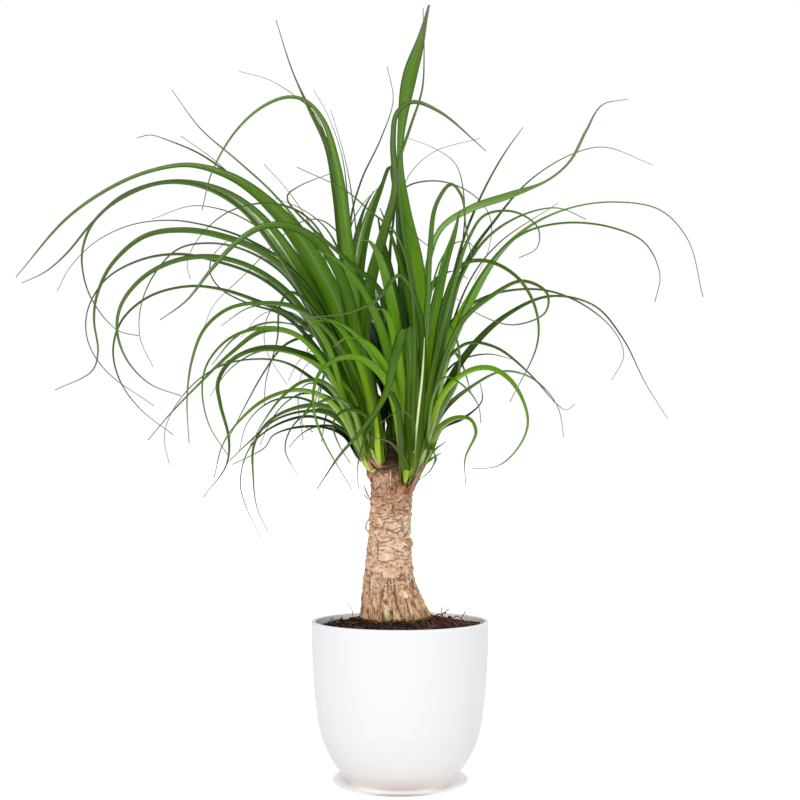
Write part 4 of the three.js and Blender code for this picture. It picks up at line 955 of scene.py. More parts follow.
def seen_angle(x, height):
    """The angle round the trunk of what shows at x from the front at that height."""
    share = (x - value_at(TRUNK_BEND, height)) / (bark_outline(height) + 0.5)
    return -np.arccos(np.clip(share, -0.98, 0.98))


def around(angle, middle, radius):
    """How far round the trunk an angle lies from a middle one."""
    return (np.mod(angle - middle + math.pi, 2 * math.pi) - math.pi) * radius


def bark_relief(points, angle, height, radius):
    """How far the bark stands out at each point, and the fields that colour it."""
    # Rings: wandering grooves, each with a raised lip.
    flat = points * (1, 1, 0.35)
    wander = 3.2 * rough(flat, 22, 11, 2)
    phase = (height + wander) / RING_SPACING
    which = np.floor(phase)
    within = phase - which
    banded = np.stack([points[..., 0], points[..., 1], which * 9], -1)
    strength = smoothstep(0.4, 0.8, noise(banded, 6, 12)) * smoothstep(*RINGS_BEGIN, height)
    edge = np.minimum(within, 1 - within) * RING_SPACING
    groove = strength * np.exp(-((edge / 0.55) ** 2))
    lip = strength * np.clip(1 - within / 0.55, 0, 1) ** 1.5
    # Upright fibres on the flare, and lumps, grain and pits above it.
    fibres = noise(points, (1.9, 1.9, 17), 13) - 0.5 + 0.5 * (noise(points, (1.1, 1.1, 9), 14) - 0.5)
    low = 1 - smoothstep(*FLARE_END, height)
    lumps = rough(points, (9, 9, 6), 15)
    grain = rough(points, (2.6, 2.6, 1.4), 18)
    pits = smoothstep(0.74, 0.86, noise(points, (1.7, 1.7, 1.3), 21)) * (1 - low)
    relief = 0.8 * lip - 0.8 * groove + 0.9 * lumps + 0.8 * grain * (1 - 0.4 * low) + low * 3.6 * fibres
    relief -= 0.6 * pits
    dark = 0.7 * groove + 0.7 * pits + low * smoothstep(0.04, 0.36, -fibres) * 1.4
    dark = np.clip(dark + 0.75 * smoothstep(0.12, 0.5, -grain) * (1 - low), 0, 1)
    pale = 0.6 * lip + low * smoothstep(0.12, 0.4, fibres) + 0.8 * smoothstep(0.12, 0.45, grain) * (1 - low)

    for x0, x1, top, bottom, wide in CRACKS:
        share = np.clip((height - bottom) / (top - bottom), 0, 1)
        line = seen_angle(x1 + (x0 - x1) * share, height)
        off = abs(around(angle, line, radius) + 1.3 * rough(points, 3.5, 31, 3))
        past = np.maximum(0, np.maximum(min(top, bottom) - height, height - max(top, bottom)))
        crack = np.exp(-((off / wide) ** 2) - (past / 1.5) ** 2)
        relief -= 1.1 * crack
        dark = np.maximum(dark, crack)
    for x, z, half_width, half_height, light in PLATES:
        off = around(angle, seen_angle(x, z), radius) / half_width
        size = np.hypot(off, (height - z) / half_height) + 0.5 * rough(points, 4, 41, 3)
        plate = smoothstep(1.1, 0.85, size)
        # Painted shadow: dark along a plate's edge, most of all below it.
        shadow = np.exp(-(((size - 1.15) / 0.12) ** 2)) * smoothstep(0.4, -0.6, (height - z) / half_height)
        relief += 0.9 * plate - 0.6 * shadow
        pale = np.maximum(pale, light * plate)
        dark = np.maximum(dark * (1 - 0.7 * plate), shadow)

    # The darker top, redder patches, and moss at the soil.
    top = smoothstep(*TOP_BEGINS, height)
    relief += top * 1.1 * rough(points, (3, 3, 9), 51)
    red = smoothstep(0.45, 0.75, noise(points, (9, 9, 5), 61)) * (0.35 + 0.65 * smoothstep(260, 300, height))
    # Redder and darker towards the left, -X.
    red += 0.4 * smoothstep(-8, -24, points[..., 0]) * (1 - red)
    moss = smoothstep(178, 160, height) * smoothstep(0.3, 0.55, noise(points, (7, 7, 5), 62))
    dark = np.maximum(dark, top * smoothstep(0.4, 0.8, noise(points, (4, 4, 8), 63)))
    return relief, {"dark": dark, "pale": pale, "red": red, "moss": moss}


def trunk_rows():
    """Radius and height of each ring of the trunk, from its foot in the soil to the top of the stub."""
    buried = np.linspace(TRUNK_BOTTOM, FULL_RELIEF - 2, 6)
    heights = np.concatenate([buried, np.arange(FULL_RELIEF - 1, BARK[-1][1], ROW_HEIGHT)])
    bark = [(bark_outline(z), z) for z in heights if z < SHOULDER[0][1] - 0.4]
    return np.array(bark + smooth_outline(SHOULDER + STUB, 0.7) + STUB_TOP)


def make_trunk(material):
    rows = trunk_rows()
    points = rings(rows[:, 0], rows[:, 1], TRUNK_SIDES)
    angle = np.arctan2(points[..., 1], points[..., 0])
    height = points[..., 2].copy()
    radius = np.broadcast_to(rows[:, :1], height.shape)
    slope = np.gradient(rows, axis=0)
    outward = unit(np.stack([slope[:, 1], -slope[:, 0]], 1))[:, None]
    relief, fields = bark_relief(points, angle, height, radius)
    on_stub = smoothstep(308, 313, height + 3 * rough(points, 5, 73, 2))
    rings_on_stub = 0.5 * np.sin(height * 1.9 + 2 * noise(points, 9, 71)) + 0.5 * rough(points, 3, 72)
    lift = relief * (1 - on_stub) + 0.6 * on_stub * rings_on_stub
    lift = lift * smoothstep(TRUNK_BOTTOM, FULL_RELIEF, height) * smoothstep(2, 8, radius)
    grown = radius + lift * outward[..., 0] + np.where(radius > 19, ridges(angle, height), 0)
    share = grown / radius
    points[..., 0] = points[..., 0] * share + value_at(TRUNK_BEND, height)
    points[..., 1] *= share
    points[..., 2] = height + lift * outward[..., 1]
    shape = Shape(*BARK_FIELDS)
    fields = {name: ended(values) for name, values in fields.items()}
    shape.add_rings(points, stub=ended(on_stub, 0, 1), **fields)
    shape.piece("ringed_trunk", material, "bark_tan", "trunk")


def on_bark(angle, height, off):
    """Points on the bark's surface at angles and heights, moved outward by off, and the way out there."""
    radius = bark_outline(height)
    relief = bark_relief(polar(radius, angle, height), angle, height, radius)[0]
    radius = radius + relief * smoothstep(TRUNK_BOTTOM, FULL_RELIEF, height) + ridges(angle, height) + off
    points = polar(radius, angle, height)
    points[..., 0] += value_at(TRUNK_BEND, height)
    return points, polar(1, angle, 0.25)


# Zones of loose bark: how many strips, how pale, heights, how upright in degrees, lengths, widths, lifts.
FLAKE_ZONES = [
    (260, 1.0, (200, 296), (-25, 25), (4, 12), (1.2, 3.4), (0.2, 0.9)),
    (60, 1.0, (205, 296), (60, 120), (3, 9), (0.8, 2.0), (0.3, 1.3)),
    (190, 1.0, (160, 207), (78, 102), (9, 28), (1.1, 2.8), (0.3, 1.3)),
    (110, 0.45, (286, 311), (30, 150), (4, 13), (1.4, 3.8), (0.4, 1.8)),
]
# Loose strips that show at the trunk's edges: (x, height) points, width, paleness and redness.
LOOSE_STRIPS = [
    (((-35.6, 297), (-33, 290), (-29, 283)), 1.5, 0.0, 1.0),
    (((-36.2, 289), (-33.5, 286), (-30, 283)), 1.2, 0.0, 0.8),
    (((-31.4, 264), (-33.6, 259), (-33.4, 253.5), (-30.5, 250.5)), 2.6, 0.9, 0.1),
    (((10.5, 245), (12.2, 240), (10.2, 235)), 2.4, 0.6, 0.6),
    (((-9.6, 298), (-9.2, 306), (-9.4, 313)), 1.7, 1.0, 0.0),
    (((-15, 300), (-17, 306), (-22, 311)), 1.4, 0.8, 0.2), (((-6, 300), (-3, 294), (2, 291)), 1.6, 0.1, 0.9),
    (((1, 167), (3.5, 160), (7.5, 154)), 1.3, 0.9, 0.0),
    (((9, 211), (13.5, 203), (16.5, 190)), 2.6, 0.7, 0.2),
    (((-36.8, 190), (-37.6, 184), (-38, 176)), 1.8, 0.2, 0.8),
    (((19, 180), (22.5, 174), (26, 169)), 2.0, 0.5, 0.3),
]


def drawn(draw, count, *ranges):
    """That many draws from each range."""
    return [low + (high - low) * np.array([next(draw) for _ in range(count)]) for low, high in ranges]


def make_flakes(material):
    """Papery strips that stand off the trunk: lying round it above, upright at its foot and its top."""
    shape = Shape(*BARK_FIELDS)
    draw = random_draws(FLAKE_SEED)
    run = np.linspace(0, 1, FLAKE_STEPS)
    for count, lightness, *ranges in FLAKE_ZONES:
        middles, slants, lengths, widths, lifts = drawn(draw, count, *ranges)
        turns, tones, reds, cups = drawn(draw, count, (-math.pi, math.pi), (0, 1), (0, 1), (-0.12, 0.08))
        along = (lengths * np.where(cups > -0.02, 1, -1))[:, None] * (run - 0.5)
        height = middles[:, None] + along * np.sin(np.radians(slants))[:, None]
        angle = turns[:, None] + along * np.cos(np.radians(slants))[:, None] / bark_outline(middles)[:, None]
        points, outward = on_bark(angle, height, lifts[:, None] * run**2 - 0.1)
        shares = np.sin(math.pi * (0.12 + 0.8 * run)) ** 0.7
        moss = 0.6 * smoothstep(172, 160, middles) * tones
        for i in range(count):
            x, y = math.cos(angle[i, 0]), math.sin(angle[i, 0])
            covers_stub = height[i].max() > 309 and abs(x - 0.05) < 0.6 and y < 0
            if covers_stub:
                continue
            pale = lightness * smoothstep(0.4, 1, tones[i])
            dark = 0.8 * smoothstep(0.4, 0.0, tones[i])
            add_strip(shape, points[i], outward[i], np.maximum(0.3, widths[i] * shares), cup=cups[i],
                      pale=pale, dark=dark, red=0.8 * reds[i] ** 2, moss=moss[i])
    for shown, width, pale, red in LOOSE_STRIPS:
        x, height = np.array(smooth_outline(shown, 1.2)).T
        points, outward = on_bark(seen_angle(x, height), height, 0.7)
        points[:, 0] = np.where(abs(x - value_at(TRUNK_BEND, height)) > bark_outline(height), x, points[:, 0])
        share = np.linspace(0, 1, len(x))
        front = outward * 0.4 + (0, -1, 0)
        add_strip(shape, points, front, tapered(share, width, 0.3), pale=pale, red=red,
                  dark=0.15 if pale else 0.6)
    shape.piece("bark_flakes", material, "bark_tan")


# The bark that clasps each head's foot: where it starts and ends, and its radius there.
COLLARS = [
    ((-17, 0, 294), (-24, 0, 315), 8, 11), ((3, -17, 289), (5, -24, 300), 7, 6.5),
    ((2, 1, 284), (15.5, 3, 321), 8, 8.5), ((-4, 10, 292), (-4, 24, 322), 9, 10.5),
]
# Papery scales at the feet of the left and right heads: their points, width, paleness and redness.
SCALES = [
    (((-16, -12, 313), (-21, -13.5, 317), (-26, -14, 321), (-31, -13, 325)), 6, 0.1, 0.9),
    (((-18, -13, 314), (-22, -14.5, 320), (-25, -15, 325), (-25.5, -16, 329)), 2, 1.0, 0.2),
    (((-27, -13, 314), (-30, -13.5, 318), (-31, -14.5, 323)), 3, 0.4, 0.8),
    (((-33, -9, 318), (-37, -9, 324), (-42, -10, 329)), 1.6, 0.0, 0.8),
    (((7, -19, 293), (12, -17, 300), (17, -14, 308), (21, -12, 316), (24, -10, 323)), 9, 0.35, 0.5),
    (((11, -20, 297), (16, -17, 306), (20, -14, 314)), 3, 0.9, 0.3),
]


def make_collars(material):
    """Ragged collars of bark, with papery scales that stand round the foot of each head."""
    shape = Shape(*BARK_FIELDS)
    draw = random_draws(COLLAR_SEED)
    run = np.linspace(0, 1, 30)
    share = np.linspace(0, 1, FLAKE_STEPS)
    for start, end, low, high in COLLARS:
        lean = np.subtract(end, start)
        tall = float(np.linalg.norm(lean))
        points = rings(low + (high - low) * run, tall * run, COLLAR_SIDES)
        seed = int(1000 * next(draw))
        spread = points * (1, 1, 0) * 8 / high
        points[..., 2] += 4.5 * run[:, None] * rough(spread, 4, seed)
        bumps = rough(points, (4, 4, 8), seed + 5) + 0.6 * rough(points, 1.6, seed + 9)
        points[..., :2] *= (1 + (1.3 * bumps / high))[..., None]
        body = np.concatenate([points, points[-1:] * (0.5, 0.5, 1)])
        grain = ended(np.concatenate([bumps, bumps[-1:]]))
        shape.add(turned_to(capped(body), lean, start), skin(*body.shape[:2]), red=0.5,
                  pale=0.8 * smoothstep(0.1, 0.6, grain), dark=0.8 * smoothstep(-0.05, -0.5, grain))
        for i in range(COLLAR_STRIPS):
            turn = 2 * math.pi * (i + next(draw)) / COLLAR_STRIPS
            length = 5 + 9 * next(draw)
            width = 1.5 + 2.5 * next(draw)
            away = high + 0.2 + (0.3 + 1.6 * next(draw)) * share**2
            turns = turn + 0.5 * (next(draw) - 0.5) * share
            up = tall - 0.7 * length + length * share
            strip = polar(away, turns, up)
            both = np.vstack([strip, strip + polar(1, turn, 0)])
            middle, outside = np.split(turned_to(both, lean, start), 2)
            tone = next(draw)
            widths = np.maximum(0.3, width * (1 - share**2.2))
            add_strip(shape, middle, outside - middle, widths, cup=-0.12, pale=smoothstep(0.5, 1, tone),
                      dark=0.7 * smoothstep(0.5, 0, tone), red=next(draw))
    for places, width, pale, red in SCALES:
        middle, at, _ = even_points(places, 1.5)
        add_strip(shape, middle, (0, -1, 0.2), width * (1 - at**2.5) + 0.4, cup=-0.15, columns=5, pale=pale,
                  red=red, dark=0.2)
    shape.piece("bark_collars", material, "bark_tan")


# Soil
def soil_level(x, y):
    """Height of the soil at a place, with its clumps."""
    points = flat_points(x, y)
    share = np.clip((SOIL_RADIUS - np.hypot(x, y)) / MOUND_WIDTH, 0, 1)
    level = SOIL_AT_WALL + (SOIL_AT_TRUNK - SOIL_AT_WALL) * share
    level = level - 1.8 * smoothstep(-10, -40, x) * smoothstep(10, 40, y)
    return level + 1.6 * rough(points, 13, 81) + 1.1 * rough(points, 4, 84, 2)


SOIL_FIELDS = ("tone", "moss")


def moss_at(x, y):
    """How mossy the soil is near the trunk: patchy, and most of all in front of it."""
    in_front = smoothstep(-8, -30, y) * smoothstep(34, 14, abs(x + 4))
    return noise(flat_points(x, y), 9, 91) + 0.2 * in_front


# Twigs and dry fibres in the soil: points (x, y, height), width, and tone from black to straw.
TWIGS = [
    (((42, 52, 157), (44, 51, 163), (47, 50, 166), (50.5, 49, 169)), 1.1, 0.35),
    (((44, 51, 163), (42.5, 51, 166), (43.5, 51, 171)), 0.9, 0.3),
    (((45, 51, 165), (48, 51, 164.5)), 1.3, 0.3),
    (((59, 12, 157), (62, 14, 163), (66, 15, 170)), 0.9, 0.5),
    (((67, 30, 157), (67.5, 30, 166), (67, 30, 175)), 0.5, 0.7),
    (((-48.6, 44, 156), (-48.5, 43, 163), (-50, 42, 170), (-54.5, 41, 176.5)), 0.7, 0.8),
    (((-72, 20, 158), (-69, 22, 162), (-67, 22, 161)), 1.0, 0.2),
    (((-62, 30, 157), (-59, 32, 162.5)), 1.2, 0.2),
    (((-50, -40, 157), (-40, -46, 161), (-31, -47, 158)), 0.9, 0.6),
    (((22, -48, 158), (34, -44, 162), (41, -40, 159)), 0.8, 0.6),
    (((33, 40, 160), (40, 36, 165), (46, 30, 161)), 1.2, 0.4),
    (((52, 34, 159), (58, 30, 163.5), (66, 27, 159)), 1.0, 0.5),
]


def crumbs(places, sizes):
    """The points of rough crumbs, one row for each place, and the faces of one crumb."""
    steps = np.linspace(-1, 1, 7)[1:-1]
    body = capped(rings(np.sqrt(1 - steps**2), steps, 8))
    body[-2:] = [(0, 0, -1), (0, 0, 1)]
    bumps = rough(body * 3 + places[:, None] * 5, 2.2, 92, 2)
    return places[:, None] + body * (1 + 0.45 * bumps)[..., None] * sizes[:, None], skin(len(steps), 8)


def make_soil_bits(material):
    """Crumbs and fibres on the soil, moss at the trunk's foot, and a few twigs."""
    shape = Shape(*SOIL_FIELDS)
    draw = random_draws(SOIL_SEED)
    all_round = (-math.pi, math.pi)
    foot = float(bark_outline(AT_SOIL))
    foot_x = float(value_at(TRUNK_BEND, AT_SOIL))

    turns, shares, sizes, tones, stretches = drawn(draw, CRUMB_COUNT, all_round, *[(0, 1)] * 4)
    near = np.arange(CRUMB_COUNT) % 3 == 0
    off = np.where(near, 1 + 9 * shares**1.5, 1 + (SOIL_RADIUS - 3 - foot) * shares**0.7)
    x, y = (foot + off) * np.cos(turns) + foot_x * near, (foot + off) * np.sin(turns)
    sizes = (0.5 + 1.3 * sizes**2) * np.where(near, 1.2, 1)
    inside = np.hypot(x, y) + 1.6 * sizes < SOIL_RADIUS
    mossy = smoothstep(0.42, 0.58, moss_at(x, y)) * smoothstep(8, 2, off) * near
    rise = soil_level(x, y) + 0.3 * sizes + 1.3 * tones * near
    wide = np.stack([sizes * (1 + 0.6 * stretches), sizes, sizes * (1.1 - 0.5 * stretches)], -1)
    bodies, faces = crumbs(np.stack([x, y, rise], -1), wide)
    for i in np.flatnonzero(inside):
        shape.add(bodies[i], faces, tone=0.5 * tones[i] ** 2, moss=mossy[i])

    run = np.linspace(-0.5, 0.5, FIBRE_STEPS)
    turns, offs, headings, lengths, bends, lifts, tones = (values[:, None] for values in drawn(
        draw, FIBRE_COUNT, all_round, (38, 80), all_round, (3, 11), (-0.6, 0.6), (0, 4), (0, 1)))
    x = offs * np.cos(turns) + lengths * run * np.cos(headings + bends * run)
    y = offs * np.sin(turns) + lengths * run * np.sin(headings + bends * run)
    kept = np.minimum(1, (SOIL_RADIUS - 1) / np.hypot(x, y))
    x, y = x * kept, y * kept
    rise = soil_level(x, y) + 0.7 + lifts * np.maximum(0, run)
    for i in range(FIBRE_COUNT):
        add_strip(shape, np.stack([x[i], y[i], rise[i]], -1), (0.05, 0.05, 1), 0.35 + 0.5 * abs(bends[i, 0]),
                  tone=0.3 + 0.7 * tones[i, 0])

    run = np.linspace(0, 1, TUFT_STEPS)
    turns, shares, heights, leans = drawn(draw, TUFT_COUNT, all_round, (0, 1), (1.5, 4.5), (-0.8, 0.8))
    off = foot + 0.3 + 5 * shares**2
    x, y = off * np.cos(turns) + foot_x, off * np.sin(turns)
    grows = moss_at(x, y) > 0.42
    base = soil_level(x, y) - 0.4
    for i in np.flatnonzero(grows):
        side = leans[i] * run**2
        turn_x, turn_y = math.cos(turns[i]), math.sin(turns[i])
        middle = np.stack([x[i] + side * turn_y, y[i] - side * turn_x, base[i] + heights[i] * run], -1)
        add_strip(shape, middle, (turn_x, turn_y, 0.1), np.maximum(0.2, 0.9 * (1 - run)), thick=0.25,
                  tone=0.5, moss=0.85)

    for places, width, tone in TWIGS:
        middle = even_points(places, 1.5)[0]
        along = unit(np.gradient(middle, axis=0))
        upper = np.cross(np.cross(along, (0.2, 1, 0.1)), along)
        knobs = width * (1 + 0.35 * rough(middle, 2.5, 95, 2))
        add_strip(shape, middle, upper, knobs, thick=0.8 * width, columns=5, cup=-0.2, tone=tone)
    shape.piece("soil_bits", material, "soil_dark")


def make_soil(material):
    """The soil that fills the pot, with the hole in which the trunk stands."""
    floor = POT_FLOOR + SEAT_GAP
    bottom = TRUNK_BOTTOM - SEAT_GAP
    wall = [(r - SEAT_GAP, max(z, floor)) for r, z in smooth_outline(BOWL_INSIDE, BOWL_STEP)[::-1]]
    wall = [(r, z) for r, z in wall if z < SOIL_AT_WALL - CLUMP_HEIGHT - 1]
    hole = [(bark_outline(z) + SEAT_GAP, z) for z in (158, 150, 140, 130, bottom)] + [(12, bottom)]
    top = [(r, TOP_MARK) for r in np.linspace(SOIL_RADIUS, hole[0][0] + 0.6, 64)]
    rows = np.array([(20, floor)] + wall + top + hole)
    points = rings(rows[:, 0], rows[:, 1], SOIL_SIDES)
    on_top = points[..., 2] == TOP_MARK
    in_hole = np.zeros_like(on_top)
    in_hole[-len(hole):] = True
    angle = np.arctan2(points[..., 1], points[..., 0])
    share = np.where(in_hole, 1, smoothstep(70, 40, np.hypot(points[..., 0], points[..., 1])) * on_top)
    ridge = np.where(in_hole | on_top, ridges(angle, np.minimum(points[..., 2], 160)), 0) * share
    radius = np.hypot(points[..., 0], points[..., 1])
    grow = np.where(radius > 30, 1 + ridge / radius, 1)
    points[..., :2] *= grow[..., None]
    points[..., 0] += value_at(TRUNK_BEND, AT_SOIL) * share
    points[..., 2] = np.where(on_top, soil_level(points[..., 0], points[..., 1]), points[..., 2])
    moss = smoothstep(0.4, 0.6, moss_at(points[..., 0], points[..., 1])) * smoothstep(46, 38, radius) * on_top
    shape = Shape(*SOIL_FIELDS)
    shape.add_rings(points, moss=ended(0.7 * moss))
    shape.piece("potting_soil", material, "soil_dark", "soil")


# Materials
def feed(tree, made, inputs):
    """Gives a node's inputs their values, each one a value or another node's output."""
    for name, value in inputs.items():
        if isinstance(value, bpy.types.NodeSocket):
            tree.links.new(value, made.inputs[name])
        else:
            made.inputs[name].default_value = value


def node(tree, kind, inputs=None, **settings):
    """Adds a node, with its inputs under their names or numbers."""
    made = tree.nodes.new("ShaderNode" + kind)
    for name, value in settings.items():
        setattr(made, name, value)
    feed(tree, made, inputs or {})
    return made


def field(tree, name):
    return node(tree, "Attribute", attribute_name=name).outputs["Fac"]


def place_vector(tree, scale=(1, 1, 1)):
    """The point's place in metres, stretched by scale."""
    place = node(tree, "TexCoord").outputs["Object"]
    return node(tree, "Mapping", {"Vector": place, "Scale": scale}).outputs["Vector"]


def noise_value(tree, vector, scale, detail=3.0, roughness=0.55):
    inputs = {"Vector": vector, "Scale": scale, "Detail": detail, "Roughness": roughness}
    return node(tree, "TexNoise", inputs).outputs["Fac"]


def ramp(tree, value, *stops):
    """A colour for each value, between (value, colour) stops."""
    made = node(tree, "ValToRGB", {"Fac": value})
    elements = made.color_ramp.elements
    while len(elements) < len(stops):
        elements.new(0.5)
    for element, (place, colour) in zip(elements, stops):
        element.position = place
        element.color = (*colour, 1)
    return made.outputs["Color"]


def between(tree, value, low, high, start=0.0, end=1.0):
    inputs = {"Value": value, "From Min": low, "From Max": high, "To Min": start, "To Max": end}
    return node(tree, "MapRange", inputs).outputs["Result"]


def sum_of(tree, a, b, operation="ADD"):
    return node(tree, "Math", {0: a, 1: b}, operation=operation).outputs[0]


def times(tree, a, b):
    return sum_of(tree, a, b, "MULTIPLY")


def axis_of(tree, axis, vector=None):
    """One axis of a vector, or of the point's place."""
    vector = place_vector(tree) if vector is None else vector
    return node(tree, "SeparateXYZ", {"Vector": vector}).outputs[axis]


def socket_value(value):
    """A colour with its alpha, or the socket that gives one."""
    return value if isinstance(value, bpy.types.NodeSocket) else (*value, 1)


def mixed(tree, share, a, b, blend="MIX"):
    """Colour a, with colour b laid over it by share."""
    inputs = {0: share, 6: socket_value(a), 7: socket_value(b)}
    return node(tree, "Mix", inputs, data_type="RGBA", blend_type=blend).outputs[2]


def material_of(name, roughness, build):
    """A material whose base colour and surface come from build(tree), which gives socket inputs."""
    made = bpy.data.materials.new(name)
    made.use_nodes = True
    tree = made.node_tree
    shader = tree.nodes["Principled BSDF"]
    shader.inputs["Roughness"].default_value = roughness
    feed(tree, shader, build(tree))
    return made


def bumped(tree, height, distance, strength=1.0):
    inputs = {"Height": height, "Distance": distance, "Strength": strength}
    return node(tree, "Bump", inputs).outputs["Normal"]


def leaf_look(tree):
    """Pale where it clasps the stem, bright green above, darker further out, with fine lengthwise veins,
    painted shade from each leaf's tone and towards its margins, and painted highlights on the palest front
    strips.
    """
    reach, share, across, under, tone, pale = (field(tree, name) for name in LEAF_FIELDS)
    scaled = node(tree, "CombineXYZ", {
        "X": times(tree, reach, 9.0),
        "Y": times(tree, across, 6.5),
        "Z": times(tree, tone, 41.0),
    }).outputs["Vector"]
    veins = noise_value(tree, scaled, 1.0, 3.0)
    broad = noise_value(tree, scaled, 0.22, 2.0)
    wander = sum_of(tree, reach, between(tree, tone, 0, 1, -0.02, 0.05))
    green = ramp(
        tree, wander,
        (0.0, (0.66, 0.74, 0.20)), (0.03, (0.46, 0.70, 0.04)), (0.09, (0.29, 0.60, 0.008)),
        (0.18, (0.14, 0.36, 0.004)), (0.34, (0.12, 0.235, 0.035)), (0.6, (0.18, 0.21, 0.15)),
    )
    green = mixed(tree, between(tree, veins, 0.38, 0.64, 0, 0.9), green, (0.54, 0.6, 0.45), "MULTIPLY")
    green = mixed(tree, between(tree, broad, 0.45, 0.7, 0, 0.5), green, (1, 0.85, 0.4), "MULTIPLY")
    # Painted shade: a leaf's tone darkens it, less so far out along it.
    shade = ramp(tree, tone, (0.0, (1, 1, 1)), (0.3, (0.46, 0.48, 0.41)), (0.6, (0.13, 0.16, 0.14)),
                 (1.0, (0.022, 0.038, 0.032)))
    green = mixed(tree, between(tree, reach, 0.12, 0.4, 1, 0.55), green, shade, "MULTIPLY")
    # Painted shade across the blade: darker towards its margins.
    side = times(tree, across, across)
    green = mixed(tree, between(tree, side, 0.15, 0.9, 0, 0.85), green, (0.4, 0.46, 0.3), "MULTIPLY")
    green = mixed(tree, between(tree, under, 0.5, 1, 0, 0.3), green, (0.10, 0.21, 0.02))
    # Pale leaf bases, and painted highlights where the thin front strips are very pale.
    green = mixed(tree, pale, green, (0.90, 0.95, 0.55))
    dry = between(tree, sum_of(tree, share, between(tree, veins, 0, 1, -0.03, 0.03)), 0.9, 0.99)
    green = mixed(tree, dry, green, (0.16, 0.12, 0.09))
    patches = noise_value(tree, scaled, 0.6, 2.0)
    sheen = times(tree, between(tree, patches, 0.49, 0.66, 0.04, 1), between(tree, tone, 0.4, 0.9, 1, 0.3))
    sheen = times(tree, sheen, between(tree, side, 0.3, 1, 1, 0.15))
    return {
        "Base Color": green,
        "Roughness": between(tree, veins, 0.3, 0.7, 0.2, 0.34),
        "Specular IOR Level": sheen,
        "Normal": bumped(tree, veins, 0.0006, 0.7),
    }


def bark_look(tree):
    """Tan and pinkish plates with dark cracks, redder and darker at the top, mossy at the soil, with pale
    specks on the fine bump's crests and dark ones in its hollows as painted highlight and shade.
    """
    dark, pale, red, moss, stub = (field(tree, name) for name in BARK_FIELDS)
    coarse = noise_value(tree, place_vector(tree, (1, 1, 1.6)), 160, 4.0, 0.6)
    fine = noise_value(tree, place_vector(tree, (1, 1, 1.5)), 700, 4.0, 0.65)
    wide = noise_value(tree, place_vector(tree), 55, 2.0)
    bark = ramp(tree, coarse, (0.32, (0.38, 0.18, 0.085)), (0.47, (0.72, 0.45, 0.27)),
                (0.66, (0.88, 0.66, 0.48)))
    bark = mixed(tree, between(tree, wide, 0.4, 0.65, 0, 0.5), bark, (0.80, 0.55, 0.41))
    # Painted highlight and shade on the fine grain: pale on the fine bump's crests, dark in its hollows.
    bark = mixed(tree, between(tree, fine, 0.56, 0.74, 0, 0.6), bark, (0.92, 0.78, 0.62))
    bark = mixed(tree, between(tree, fine, 0.44, 0.28, 0, 0.6), bark, (0.36, 0.17, 0.08))
    height = axis_of(tree, "Z")
    tint = ramp(tree, between(tree, height, 0.15, 0.35), (0.0, (0.80, 0.70, 0.52)), (0.2, (0.94, 0.86, 0.76)),
                (0.35, (1, 1, 1)), (0.55, (0.96, 0.92, 0.88)), (0.7, (0.68, 0.53, 0.44)))
    bark = mixed(tree, 1.0, bark, tint, "MULTIPLY")
    bark = mixed(tree, times(tree, pale, 0.75), bark, (0.93, 0.78, 0.60))
    bark = mixed(tree, times(tree, red, 0.5), bark, (0.50, 0.17, 0.085))
    bark = mixed(tree, times(tree, dark, 0.9), bark, (0.13, 0.05, 0.022))
    bark = mixed(tree, times(tree, moss, 0.75), bark, (0.26, 0.24, 0.04))
    level = noise_value(tree, place_vector(tree, (1, 1, 7)), 90, 3.0, 0.6)
    wood = ramp(tree, level, (0.35, (0.03, 0.012, 0.006)), (0.52, (0.14, 0.07, 0.035)),
                (0.68, (0.32, 0.19, 0.105)))
    cut = ramp(tree, level, (0.35, (0.006, 0.003, 0.002)), (0.55, (0.03, 0.014, 0.008)),
               (0.7, (0.10, 0.05, 0.028)))
    wood = mixed(tree, between(tree, height, 0.313, 0.323), wood, cut)
    bark = mixed(tree, stub, bark, wood)
    relief = sum_of(tree, fine, times(tree, coarse, 0.8))
    return {"Base Color": bark, "Specular IOR Level": 0.25, "Normal": bumped(tree, relief, 0.0011, 0.8)}


def soil_look(tree):
    """Dark crumbs with red-brown fibres, straw-coloured where tone is high, and green where there is moss."""
    tone, moss = (field(tree, name) for name in SOIL_FIELDS)
    grains = noise_value(tree, place_vector(tree), 420, 4.0, 0.7)
    clumps = noise_value(tree, place_vector(tree), 130, 3.0)
    soil = ramp(tree, grains, (0.38, (0.004, 0.003, 0.002)), (0.55, (0.018, 0.009, 0.006)),
                (0.7, (0.09, 0.036, 0.02)))
    across = axis_of(tree, "X")
    soil = mixed(tree, between(tree, across, 0.02, -0.03, 0, 0.75), soil, (0.006, 0.004, 0.003))
    reddish = times(tree, between(tree, clumps, 0.48, 0.66), between(tree, across, -0.03, 0.03, 0.2, 0.8))
    soil = mixed(tree, reddish, soil, (0.10, 0.03, 0.016))
    straw = ramp(tree, tone, (0.0, (0.03, 0.012, 0.008)), (0.5, (0.20, 0.07, 0.04)),
                 (1.0, (0.45, 0.32, 0.20)))
    soil = mixed(tree, between(tree, tone, 0.0, 0.4, 0, 0.9), soil, straw)
    green = ramp(tree, grains, (0.4, (0.04, 0.035, 0.006)), (0.6, (0.20, 0.175, 0.025)),
                 (0.75, (0.40, 0.34, 0.08)))
    soil = mixed(tree, moss, soil, green)
    relief = sum_of(tree, grains, clumps)
    return {"Base Color": soil, "Specular IOR Level": 0.2, "Normal": bumped(tree, relief, 0.002)}


